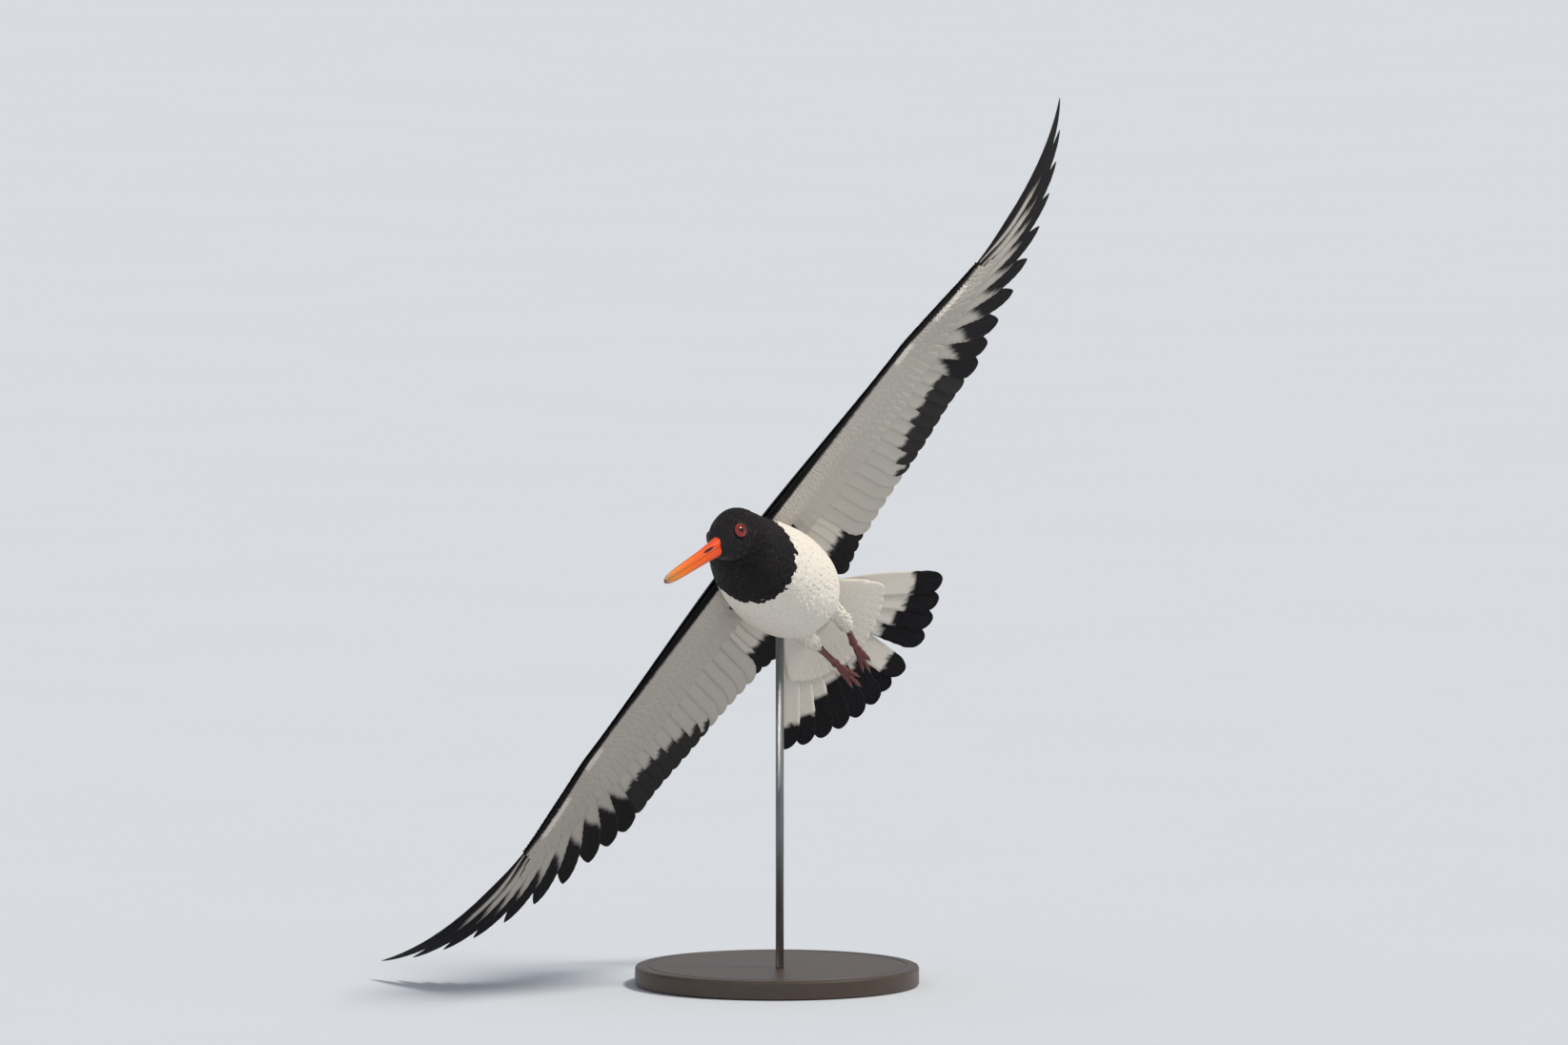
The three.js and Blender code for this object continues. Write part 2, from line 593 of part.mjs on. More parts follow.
// Stand: the rod goes straight up into the belly.
posed.updateMatrixWorld(true);
const worldToBird = bird.matrixWorld.clone().invert();
const rod = (grow, from, to) => solid(
  new THREE.CylinderGeometry(ROD_RADIUS + grow, ROD_RADIUS + grow, to - from, 20)
    .rotateX(Math.PI / 2)
    .translate(ROD_FOOT.x, ROD_FOOT.y, (from + to) / 2),
);
const profile = [
  [0, 0], [BASE_RADIUS, 0], [BASE_RADIUS, BASE_HEIGHT - BASE_CHAMFER],
  [BASE_RADIUS - BASE_CHAMFER, BASE_HEIGHT], [0, BASE_HEIGHT],
].map(([r, z]) => new THREE.Vector2(r, z));
const disc = solid(new THREE.LatheGeometry(profile, 48).rotateX(Math.PI / 2));
part.add(meshOf(disc.subtract(rod(GAP, ROD_FOOT.z - GAP, 60)), 'stand_base', materials.wood));
part.add(meshOf(rod(0, ROD_FOOT.z, ROD_TOP), 'stand_rod', materials.steel));

const rodInBird = rod(GAP, ROD_FOOT.z, ROD_TOP + GAP).transform([...worldToBird.elements]);
const torso = trunk.intersect(slab(TAIL_JOINT, HOOD_EDGE)).subtract(rodInBird);
add(torso, 'torso', materials.white);

export default part;
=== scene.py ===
# %% [markdown]
# # An oystercatcher in flight, on a stand
# The bird is a life-size still model of the kind a museum shows: feathers over a body, glass eyes,
# a horn bill, and a rod on a wooden base. The solid model gives every outline. Here the same named
# sizes carry a finer skin and some thousands of real feather shapes.

# %% Tools and the solid model
import math

import bmesh
import bpy
import numpy as np
from mathutils import Matrix, Vector
from mathutils.bvhtree import BVHTree


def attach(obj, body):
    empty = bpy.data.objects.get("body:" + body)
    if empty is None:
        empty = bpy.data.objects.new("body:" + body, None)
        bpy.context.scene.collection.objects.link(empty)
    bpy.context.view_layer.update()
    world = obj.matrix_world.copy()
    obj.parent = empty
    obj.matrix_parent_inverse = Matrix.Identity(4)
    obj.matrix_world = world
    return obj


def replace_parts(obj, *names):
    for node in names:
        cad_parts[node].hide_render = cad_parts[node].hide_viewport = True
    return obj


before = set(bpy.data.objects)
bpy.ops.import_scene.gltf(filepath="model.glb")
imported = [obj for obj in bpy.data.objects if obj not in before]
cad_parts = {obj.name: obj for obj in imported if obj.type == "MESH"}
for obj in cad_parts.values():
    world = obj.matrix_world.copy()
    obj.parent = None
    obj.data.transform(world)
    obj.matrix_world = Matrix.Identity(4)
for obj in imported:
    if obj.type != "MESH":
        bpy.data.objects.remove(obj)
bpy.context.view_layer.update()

rng = np.random.default_rng(11)

# %% [markdown]
# ## The bird's own frame
# A bird is easiest to describe level: x runs forward, y to its left, z up through the back, in
# millimetres. One matrix then banks it, turns its belly to the viewer and sets it over the base.

# %% From the bird's frame to the room
MM = 0.001
SHOULDER_AT = (-26, -45, 325)
VIEW_DOWN, BANK, CLIMB = 5, 52, 27
HEAD_AT = (77, 5.2, -26.4)


def turn(axis, degrees):
    return Matrix.Rotation(math.radians(degrees), 4, axis)


BIRD = np.array(
    Matrix.Translation(SHOULDER_AT)
    @ turn("X", -VIEW_DOWN)
    @ turn("Y", -BANK)
    @ turn("X", -CLIMB)
    @ turn("Z", -90)
)


def in_room(points):
    return (np.asarray(points) @ BIRD[:3, :3].T + BIRD[:3, 3]) * MM


print("the middle of the head is at", in_room([HEAD_AT]).round(3))

# %% Small helpers for curves


def smooth(low, high, x):
    t = np.clip((np.asarray(x, float) - low) / (high - low), 0, 1)
    return t * t * (3 - 2 * t)


def mix(a, b, t):
    return a + (b - a) * t


def unit(v):
    return v / np.maximum(np.linalg.norm(v, axis=-1, keepdims=True), 1e-9)


def along(rows, q):
    """Rows of numbers as one smooth curve: the row at q, from 0 to 1."""
    rows = np.asarray(rows, float)
    place = np.clip(np.asarray(q, float), 0, 1) * (len(rows) - 1)
    i = np.minimum(place.astype(int), len(rows) - 2)
    t = (place - i)[..., None]
    p0, p1, p2, p3 = (rows[np.clip(i + k, 0, len(rows) - 1)] for k in (-1, 0, 1, 2))
    v1, v2 = (p2 - p0) / 2, (p3 - p1) / 2
    return (
        p1
        + v1 * t
        + (3 * (p2 - p1) - 2 * v1 - v2) * t**2
        + (2 * (p1 - p2) + v1 + v2) * t**3
    )


print("halfway along 0, 1, 4:", along([[0], [1], [4]], 0.5))

# %% [markdown]
# ## Finishes
# A finish is a small graph of nodes. Writing it as sums and products is shorter than placing
# boxes, so one class wraps a socket and lends it + - * and the other signs.

# %% A socket that can be added and multiplied


class Wire:
    def __init__(self, finish, socket):
        self.finish = finish
        self.socket = socket

    def _math(self, operation, a, b, clamped=False):
        node = {"operation": operation, "use_clamp": clamped}
        return self.finish.node("ShaderNodeMath", node, {0: a, 1: b})

    def __add__(self, other):
        return self._math("ADD", self, other)

    def __sub__(self, other):
        return self._math("SUBTRACT", self, other)

    def __rsub__(self, other):
        return self._math("SUBTRACT", other, self)

    def __mul__(self, other):
        return self._math("MULTIPLY", self, other)

    __radd__ = __add__
    __rmul__ = __mul__

    def clamped(self):
        return self._math("ADD", self, 0.0, clamped=True)


class Finish:
    """A material with one shader. Constants go straight on the shader's sockets."""

    def __init__(self, name, **constants):
        self.material = bpy.data.materials.new(name)
        self.material.use_nodes = True
        self.tree = self.material.node_tree
        self.shader = self.tree.nodes["Principled BSDF"]
        for socket, value in constants.items():
            self.shader.inputs[socket.replace("_", " ")].default_value = value

    def node(self, kind, settings=None, sockets=None, output=0):
        made = self.tree.nodes.new(kind)
        for key, value in (settings or {}).items():
            if key == "stops":
                self._stops(made.color_ramp, value)
            else:
                setattr(made, key, value)
        for key, value in (sockets or {}).items():
            self.feed(made.inputs[key], value)
        return Wire(self, made.outputs[output])

    def _stops(self, ramp, stops):
        while len(ramp.elements) < len(stops):
            ramp.elements.new(0.5)
        for element, (place, color) in zip(ramp.elements, stops):
            element.position = place
            element.color = (*color, 1)

    def feed(self, socket, value):
        if isinstance(value, Wire):
            self.tree.links.new(value.socket, socket)
        else:
            socket.default_value = value

    def blend(self, a, b, share):
        """Two colours through a Mix node."""
        made = self.tree.nodes.new("ShaderNodeMix")
        made.data_type = "RGBA"
        self.feed(made.inputs["Factor"], share)
        for key, value in (("A", a), ("B", b)):
            socket = next(s for s in made.inputs if s.name == key and s.type == "RGBA")
            self.feed(socket, value if isinstance(value, Wire) else (*value, 1))
        return Wire(self, next(s for s in made.outputs if s.type == "RGBA"))

    def uv(self, name):
        return self.node("ShaderNodeUVMap", {"uv_map": name})

    def place(self):
        return self.node("ShaderNodeTexCoord", output=3)

    def parts(self, vector):
        kind = "ShaderNodeSeparateXYZ"
        return [self.node(kind, sockets={0: vector}, output=n) for n in range(3)]

    def mark(self, channel):
        """Red, green or blue of the piece's own colour attribute."""
        color = self.node("ShaderNodeAttribute", {"attribute_name": "mark"})
        return self.node("ShaderNodeSeparateColor", sockets={0: color}, output=channel)

    def noise(self, vector, scale, detail=3.0, rough=0.55):
        sockets = {"Vector": vector, "Scale": scale, "Detail": detail, "Roughness": rough}
        return self.node("ShaderNodeTexNoise", sockets=sockets)

    def bump(self, height, strength, distance):
        sockets = {"Strength": strength, "Distance": distance, "Height": height}
        return self.node("ShaderNodeBump", sockets=sockets)

    def use(self, **sockets):
        for key, value in sockets.items():
            self.feed(self.shader.inputs[key.replace("_", " ")], value)
        return self.material


# %% [markdown]
# ### Plumage
# A feather is a comb of barbs set slantwise on a shaft. At arm's length they are a fine grain, so
# they are a ripple in the surface rather than modelled. Each vane has a map across and along
# itself for it, and an attribute says how dark each spot is, so skin and feathers share a pattern.
# The same attribute says how much painted shade greys the white, most of all under the wings.

# %% Plumage
WHITE = (0.79, 0.735, 0.645)
# SHADE is painted shade: the grey that white plumage is turned towards, most under the wings
SHADE = (0.37, 0.34, 0.30)
BLACK = (0.006, 0.0055, 0.0075)
BROWN = (0.022, 0.016, 0.014)


def plumage(name, barbs, barb_depth, shaft_half, shaft_show):
    finish = Finish(name, Specular_IOR_Level=0.09)
    across, lengthwise, _ = finish.parts(finish.uv("Vane"))
    off_shaft = finish.node("ShaderNodeMath", {"operation": "ABSOLUTE"}, {0: across - 0.5})
    slant = lengthwise * barbs - off_shaft * (barbs * 0.35)
    ripple = finish.node("ShaderNodeMath", {"operation": "SINE"}, {0: slant * 6.283})
    clumps = finish.noise(finish.place(), 900.0)
    ink, painted_shade, tone = (finish.mark(n) for n in range(3))
    # painted shade: the second channel of the mark greys the white towards SHADE
    light = finish.blend(WHITE, SHADE, painted_shade)
    light = finish.blend(light, (0.70, 0.61, 0.49), (clumps - 0.45).clamped() * 0.5)
    dark = finish.blend(BLACK, BROWN, (tone * 0.4 + clumps * 0.4 - 0.15).clamped())
    color = finish.blend(light, dark, (ink + (clumps - 0.5) * 0.12 * ink).clamped())
    shaft = (1 - off_shaft * (1 / shaft_half)).clamped()
    horn_tone = finish.blend((0.60, 0.53, 0.43), (0.05, 0.034, 0.026), ink)
    color = finish.blend(color, horn_tone, shaft * shaft_show)
    height = ripple * 0.5 + clumps * 0.8
    return finish.use(
        Base_Color=color,
        Roughness=0.8 - ink * 0.18 + clumps * 0.1,
        Normal=finish.bump(height, 0.5, barb_depth),
    )


small_plumage = plumage("small_feathers", 10, 0.00012, 0.03, 0.1)
covert_plumage = plumage("covert_feathers", 30, 0.00016, 0.022, 0.45)
long_plumage = plumage("flight_feathers", 90, 0.00018, 0.03, 0.3)
print("plumage", small_plumage.name, covert_plumage.name, long_plumage.name)

# %% [markdown]
# ## Feathers as thin closed plates
# Every feather starts as the same flat plate, made once from a grid that is given a thickness.
# Arrays then bend it to each feather's own length, width and lie, which makes thousands quickly.

# %% A plate and a piece made of many
TIP_GATHER = 1.6  # rows lie closer towards the tip, where the outline turns


class Plate:
    """A flat closed plate: u from -1 to 1 across, t from 0 to 1 along, side 1 above, -1 below."""

    def __init__(self, columns, rows):
        bm = bmesh.new()
        bmesh.ops.create_grid(bm, x_segments=columns, y_segments=rows, size=1)
        bmesh.ops.solidify(bm, geom=bm.faces[:], thickness=0.1)
        bmesh.ops.recalc_face_normals(bm, faces=bm.faces[:])
        bm.verts.index_update()
        co = np.array([v.co for v in bm.verts])
        self.faces = np.array([[v.index for v in f.verts] for f in bm.faces])
        bm.free()
        self.u, self.t = co[:, 0], 1 - (1 - (co[:, 1] + 1) / 2) ** TIP_GATHER
        self.side = np.where(co[:, 2] > co[:, 2].mean(), 1.0, -1.0)
        self.broad = abs(self.side[self.faces].sum(1)) > 3  # the two wide sides, not the rim


SMALL, MIDDLE, WIDE, LONG = Plate(2, 5), Plate(4, 6), Plate(6, 12), Plate(10, 34)
print("faces a feather:", [len(plate.faces) for plate in (SMALL, MIDDLE, WIDE, LONG)])


def outward(points, faces):
    """The faces, turned round if the first shape is inside out."""
    p = points[0]
    a, b, c, d = (p[faces[:, n]] for n in range(4))
    volume = (a * np.cross(b, c)).sum() + (a * np.cross(c, d)).sum()
    return faces if volume > 0 else faces[:, ::-1]


def placed(name, data):
    """A new object in the scene."""
    made = bpy.data.objects.new(name, data)
    bpy.context.scene.collection.objects.link(made)
    return made


def paint(mesh, colors):
    """The colour attribute that the finishes read with mark."""
    attribute = mesh.attributes.new("mark", "FLOAT_COLOR", "POINT")
    attribute.data.foreach_set("color", colors.ravel())


def feather_piece(name, groups, material, slot_name):
    """One mesh from groups of (plate, points, root on the unwrap, patch size, mark)."""
    co, corners, vane, bake, marks, broad, start = [], [], [], [], [], [], 0
    for plate, points, roots, patch, mark in groups:
        points = np.asarray(points)
        count, each = points.shape[:2]
        faces = outward(points - points[0].mean(0), plate.faces)
        offsets = start + np.arange(count)[:, None, None] * each
        corners.append((faces[None] + offsets).reshape(-1))
        own = np.stack([plate.u * 0.5 + 0.5, plate.t], -1)
        loops = faces.reshape(-1)
        vane.append(np.tile(own[loops], (count, 1)))
        patches = np.asarray(roots)[:, None, :] + own[None] * np.asarray(patch)
        bake.append(patches[:, loops].reshape(-1, 2))
        co.append(in_room(points).reshape(-1, 3))
        broad.append(np.tile(plate.broad, count))
        full = np.ones((count, each, 4))
        full[..., :3] = mark
        marks.append(full.reshape(-1, 4))
        start += count * each
    co, corners = np.concatenate(co), np.concatenate(corners)
    mesh = bpy.data.meshes.new(name)
    mesh.vertices.add(len(co))
    mesh.vertices.foreach_set("co", co.ravel())
    mesh.loops.add(len(corners))
    mesh.loops.foreach_set("vertex_index", corners)
    mesh.polygons.add(len(corners) // 4)
    mesh.polygons.foreach_set("loop_start", np.arange(0, len(corners), 4))
    mesh.update(calc_edges=True)
    for layer, values in (("Vane", vane), ("OFBake", bake)):
        mesh.uv_layers.new(name=layer).uv.foreach_set("vector", np.concatenate(values).ravel())
    paint(mesh, np.concatenate(marks))
    mesh.polygons.foreach_set("use_smooth", np.concatenate(broad))
    mesh.materials.append(material)
    piece = placed(name, mesh)
    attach(piece, "root")
    print(name, len(corners) // 2, "triangles")
    return piece


# The three channels are ink, painted shade that greys the white, and a random tone.
def mark_of(ink, painted_shade, tone):
    return np.stack(np.broadcast_arrays(ink, painted_shade, tone), -1)


# %% [markdown]
# ## Rounded forms
# Trunk, head, toes and bill are all round bodies whose section changes along a line. A sphere or
# a ring is moved onto rows of measured sections, so each form stays a short list of sizes.

# %% Bodies and limbs from rows of sections


def mesh_piece(name, bm, material, bird_frame=True, smooth_faces=True):
    """A finished piece from a bmesh in the bird's frame, or in the room's without bird_frame."""
    if bird_frame:
        for v in bm.verts:
            v.co = in_room([*v.co])
    bmesh.ops.recalc_face_normals(bm, faces=bm.faces[:])
    mesh = bpy.data.meshes.new(name)
    bm.to_mesh(mesh)
    bm.free()
    if smooth_faces:
        mesh.shade_smooth()
    mesh.materials.append(material)
    piece = placed(name, mesh)
    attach(piece, "root")
    print(name, len(mesh.polygons), "faces")
    return piece


AT_POLE = 0.99999


def from_pole(co):
    """How far a point of the unit ball lies from its first pole to its last, from 0 to 1."""
    return math.acos(np.clip(-co.z, -1, 1)) / math.pi


def spun(bm, steps):
    """Everything in the bmesh turned once round the z axis."""
    bmesh.ops.spin(
        bm, geom=bm.verts[:] + bm.edges[:], cent=(0, 0, 0), axis=(0, 0, 1), dvec=(0, 0, 0),
        angle=math.tau, steps=steps, use_merge=True,
    )


def body_of(bm, rows, around, lengthwise, shrink=0.0):
    """A closed body along x: rows of [x, y, middle, half width, height above, depth below]."""
    ball = bmesh.ops.create_uvsphere(bm, u_segments=around, v_segments=lengthwise, radius=1)
    for v in ball["verts"]:
        x, y, middle, half, above, below = along(rows, from_pole(v.co))
        pole = abs(v.co.z) > AT_POLE
        angle = math.atan2(v.co.y, v.co.x)
        tall = above if math.sin(angle) > 0 else below
        reach = 0.0 if pole else 1.0
        v.co = (
            x - shrink * np.sign(v.co.z) * pole,
            y + reach * max(half - shrink, 0.3) * math.cos(angle),
            middle + reach * max(tall - shrink, 0.3) * math.sin(angle),
        )
    return ball["verts"]


def limb(bm, rows, around, lengthwise):
    """A closed limb along a bent line: rows of [x, y, z, radius]."""
    ball = bmesh.ops.create_uvsphere(bm, u_segments=around, v_segments=lengthwise, radius=1)
    for v in ball["verts"]:
        q = from_pole(v.co)
        x, y, z, radius = along(rows, q)
        ahead = unit(along(rows, q + 0.01)[:3] - along(rows, q - 0.01)[:3])
        across = unit(np.cross((0, 1, 0), ahead))
        angle = math.atan2(v.co.y, v.co.x)
        if abs(v.co.z) > AT_POLE:
            radius = 0.0
        offset = across * math.cos(angle) + np.cross(ahead, across) * math.sin(angle)
        v.co = np.array((x, y, z)) + offset * radius


# %% [markdown]
# ## The wing's surface
# Each wing is drawn flat, with "out" along the span, then bent: the arm is nearly straight and
# slightly arched, the hand curls up. The flight feathers' quills are drawn on the flat wing too.

# %% Wings drawn flat, then bent
WINGS = {
    "left": {"side": 1, "arm_slope": -3, "tip_curl": 52, "wash": 0.09},
    "right": {"side": -1, "arm_slope": -4.3, "tip_curl": 60, "wash": 0.05},
}
WRIST, HALF_SPAN = 190, 430
REAR_EDGE = [[x] for x in (-142, -128, -117, -110, -104, -106, -97, -86, -80, -78, -79, -86)]


def front_edge(out):
    sweep = np.clip((out - WRIST) / (HALF_SPAN - WRIST), 0, 1.1) ** 1.5
    return 8 + (np.clip(out, 28, WRIST) - 28) * 0.086 - 103 * sweep


def rear_edge(out):
    return along(REAR_EDGE, (out - 40) / (HALF_SPAN - 40))[..., 0]


def wing_surface(side, arm_slope, tip_curl, wash):
    def slope(out):
        return np.radians(arm_slope + tip_curl * np.clip((out - 170) / 260, 0, 1.1) ** 1.53)

    steps = np.arange(451)
    spans = np.concatenate([[0], np.cumsum(np.cos(slope(steps[1:] - 0.5)))])
    rises = np.concatenate([[0], np.cumsum(np.sin(slope(steps[1:] - 0.5)))]) - 1.2

    def place(out, forward, up):
        back = np.maximum(0, front_edge(out) - forward)
        share = np.clip(back / (front_edge(out) - rear_edge(out)), 0, 1)
        camber = 20 * share * (1 - share) * (1 - smooth(150, 330, out))
        lift = up + camber + wash * smooth(120, 270, out) * back
        y = np.interp(out, steps, spans) - np.sin(slope(out)) * lift
        z = np.interp(out, steps, rises) + np.cos(slope(out)) * lift
        return np.stack(np.broadcast_arrays(forward, side * y, z), -1)

    return place


SURFACES = {name: wing_surface(**wing) for name, wing in WINGS.items()}
print("left wing tip", SURFACES["left"](np.array(430.0), np.array(-83.0), 0).round(1))

# %% Quills of the flight feathers
TERTIALS, SECONDARIES = 4, 13
PRIMARY_TIPS = [
    (216, -110), (233, -104), (252, -98), (277, -92), (303, -86),
    (329, -82), (355, -80), (380, -80), (405, -81), (431, -83),
]
PRIMARY_ROOTS = [
    (192, -3), (200, -4), (209, -5), (218, -6), (227, -7),
    (235, -7), (243, -6.5), (251, -5), (259, -2.5), (267, 0.5),
]
PRIMARY_BOWS = [2, 2.5, 3, 3.5, 4, 4.5, 5, 5, 5, 5.5]
PRIMARY_OUTER = [7, 7, 7, 7, 7, 6.5, 6, 5.5, 5, 4]
PRIMARY_INNER = [15, 16, 17, 17, 17, 16, 15, 14, 12, 10]
ROOT_BACK = 27


class Quill:
    """A shaft on the flat wing, bowed towards the wing's front."""

    def __init__(self, root, tip, bow, outer, inner):
        self.root = np.array(root, float)
        self.chord = np.array(tip, float) - self.root
        self.length = np.hypot(*self.chord)
        self.across = np.array((-self.chord[1], self.chord[0])) / self.length
        self.bow, self.outer, self.inner = bow, outer, inner

    def at(self, t):
        t = np.asarray(t, float)[..., None]
        bowed = 4 * self.bow * np.clip(t, 0, 1) * (1 - np.clip(t, 0, 1))
        return self.root + self.chord * t + self.across * bowed

    def aside(self, spots):
        t = (spots - self.root) @ self.chord / self.length**2
        return (spots - self.at(t)) @ self.across


def flight_quills():
    quills = []
    for t in np.linspace(0, 1, TERTIALS):
        root = mix(36, 54, t)
        tip = (mix(37, 62, t), mix(-150, -133, t))
        quills.append(Quill((root, front_edge(root) - ROOT_BACK), tip, 2, 8, 9))
    for t in np.linspace(0, 1, SECONDARIES):
        root, tip = mix(62, 184, t), mix(72, 198, t)
        end = (tip, rear_edge(np.array(tip)) - 2)
        quills.append(Quill((root, front_edge(root) - ROOT_BACK), end, 2, 7, 13))
    rows = zip(PRIMARY_ROOTS, PRIMARY_TIPS, PRIMARY_BOWS, PRIMARY_OUTER, PRIMARY_INNER)
    return quills + [Quill(*row) for row in rows]


FLIGHT = flight_quills()
ROOT_OUTS = [quill.root[0] for quill in FLIGHT]


def steps_out(k, spots):
    """How many feathers out from feather k each spot lies, in shafts and parts of a gap."""
    aside = np.stack([quill.aside(spots) for quill in FLIGHT])
    which = np.arange(len(spots))
    last = len(FLIGHT) - 2
    n = np.full(len(spots), min(k, last))
    for _ in FLIGHT:
        n = n + ((n < last) & (aside[np.minimum(n + 1, last + 1), which] > 0))
    for _ in FLIGHT:
        n = n - ((n > 0) & (aside[n, which] < 0))
    near, far = aside[n, which], aside[n + 1, which]
    return np.clip(n - k + near / (near - far), -3, 3)


print(len(FLIGHT), "flight feathers a wing, longest", round(max(q.length for q in FLIGHT)), "mm")

# %% [markdown]
# ### Flight feathers
# Each vane lies over the next like a tile: its outer edge rides up, its inner edge dips under.
# From below the pale inner webs show, with dark tips that make the wing's dark rear edge; from
# above the dark outer webs and the broad white bar.

# %% The flight feathers and their markings
VANE_HALF = 0.14
VANE_STEP = 0.75


def vane_width(t, pointed=0.0):
    """Share of the full width along a vane, narrow at the root and rounded or pointed at the tip."""
    start = mix(0.2, 1.0, smooth(0, 0.3, t))
    low, bend, fall = mix(0.8, 0.46, pointed), mix(2.2, 1.6, pointed), mix(0.5, 0.7, pointed)
    tip = (1 - np.clip((t - low) / (1 - low), 0, 1) ** bend) ** fall
    return np.maximum(start * tip, 0.035)


def soft_width(t):
    """A small feather: oval, with a soft, slightly pointed tip."""
    rise = mix(0.35, 1.0, smooth(0, 0.4, t))
    return np.maximum(rise * (1 - np.clip((t - 0.45) / 0.55, 0, 1) ** 2) ** 0.7, 0.03)


def flight_marks(k, u, t, side, length):
    """Ink, painted shade and tone over one flight feather."""
    wobble = 0.012 * np.sin(u * 9 + k * 2.1) + 0.008 * np.sin(u * 23 + k)
    t = t + wobble
    if k < TERTIALS:
        start = mix(0.66, 0.74, k / TERTIALS)
        ink = np.where(side > 0, 1.0, smooth(start, start + 0.06, t + 0.04 * u))
        return mark_of(ink, 0.15, 0.5)
    second = k - TERTIALS
    primary = k - TERTIALS - SECONDARIES
    if primary < 0:
        dark_length = np.interp(second, [4, 5, 7, 9, 12], [0, 9, 24, 31, 38])
        dark_length = dark_length + (np.abs(u) - 0.5) * 7 + (side > 0) * 4
        edge = 1 - dark_length / length
        ink = smooth(edge - 0.012, edge + 0.02, t) * (dark_length > 4)
        return mark_of(ink * 0.96, 0.5, 0.45)
    edge = np.interp(primary, [0, 3, 6, 9], [0.58, 0.55, 0.50, 0.44])
    shaft = mix(0.0, -0.5, smooth(6, 9, primary))
    inner = 1 - smooth(shaft - 0.12, shaft + 0.02, u)
    pale_below = inner * (1 - smooth(edge - 0.04, edge + 0.04, t + (u + 0.6) * 0.28))
    streak = (1 - smooth(0.55, 0.7, u)) * smooth(-0.05, 0.02, u)
    bar = smooth(0.24, 0.3, t) * (1 - smooth(0.56, 0.6, t + 0.035 * primary)) * (primary < 7)
    pale = np.where(side > 0, np.maximum(streak * bar, pale_below * 0.5), pale_below)
    return mark_of(1 - pale, 0.62, 0.5)


def flight_feather(k, place):
    quill = FLIGHT[k]
    rows = LONG.t
    ragged = 1 + 0.02 * np.sin(rows * 90 + k * 3.3) * np.abs(LONG.u) ** 4
    width = vane_width(rows, float(smooth(16, 23, k))) * ragged
    reach = np.where(LONG.u > 0, quill.outer, quill.inner) * np.abs(LONG.u) * width
    spots = quill.at(rows) + quill.across * (np.sign(LONG.u) * reach)[:, None]
    shaft = 0.26 * np.exp(-((LONG.u / 0.09) ** 2)) * (1 - 0.75 * rows)
    up = VANE_STEP * steps_out(k, spots) + LONG.side * (VANE_HALF + shaft)
    points = place(spots[:, 0], spots[:, 1], up)
    return points, flight_marks(k, LONG.u, rows, LONG.side, quill.length)


def long_feathers(name, made, spacing, width):
    """One piece of long feathers, each with a strip of the unwrap to itself."""
    strips = np.stack([0.01 + spacing * np.arange(len(made)), np.full(len(made), 0.02)], -1)
    points, marks = zip(*made)
    group = (LONG, points, strips, (width, 0.95), np.stack(marks))
    return feather_piece(name, [group], long_plumage, "white_plumage")


for name, place in SURFACES.items():
    made = [flight_feather(k, place) for k in range(len(FLIGHT))]
    piece = long_feathers(f"flight_feathers_{name}", made, 0.036, 0.03)
    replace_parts(piece, f"wing_{name}")

# %% [markdown]
# ### Wing coverts
# Small feathers clothe the front of the wing in rows, smallest at the front edge, longest where
# they lap over the flight feathers. Above they are black but for the white bar of the greater
# coverts; below they are white behind a narrow dark edge.

# %% The clothed front of the wing, above and below
CORE_BACK, CORE_HAND_BACK, CORE_END = 42, 24, 274
TAPER_LENGTH, TAPER_INSET = 45, 2.6  # how the front draws back where the coverts end


def core_depth(out):
    return mix(CORE_BACK, CORE_HAND_BACK, smooth(150, 240, out))


def clothed_height(out, back, above):
    """How far the surface that the coverts lie on stands off the middle of the wing."""
    depth = core_depth(out)
    share = np.clip(back / depth, 0, 1)
    end = mix(1, 0.5, smooth(230, CORE_END + 6, out))
    shoulder = 5 * (1 - smooth(30, 180, out)) * np.sin(np.pi * np.clip(share * 0.9 + 0.1, 0, 1))
    full = ((3.0 if above else 3.5) * end) * mix(0.2, 1, np.sqrt(np.clip(share * 3, 0, 1)))
    return mix(full + shoulder, 1.5, smooth(depth * 0.85, depth * 1.8, back))


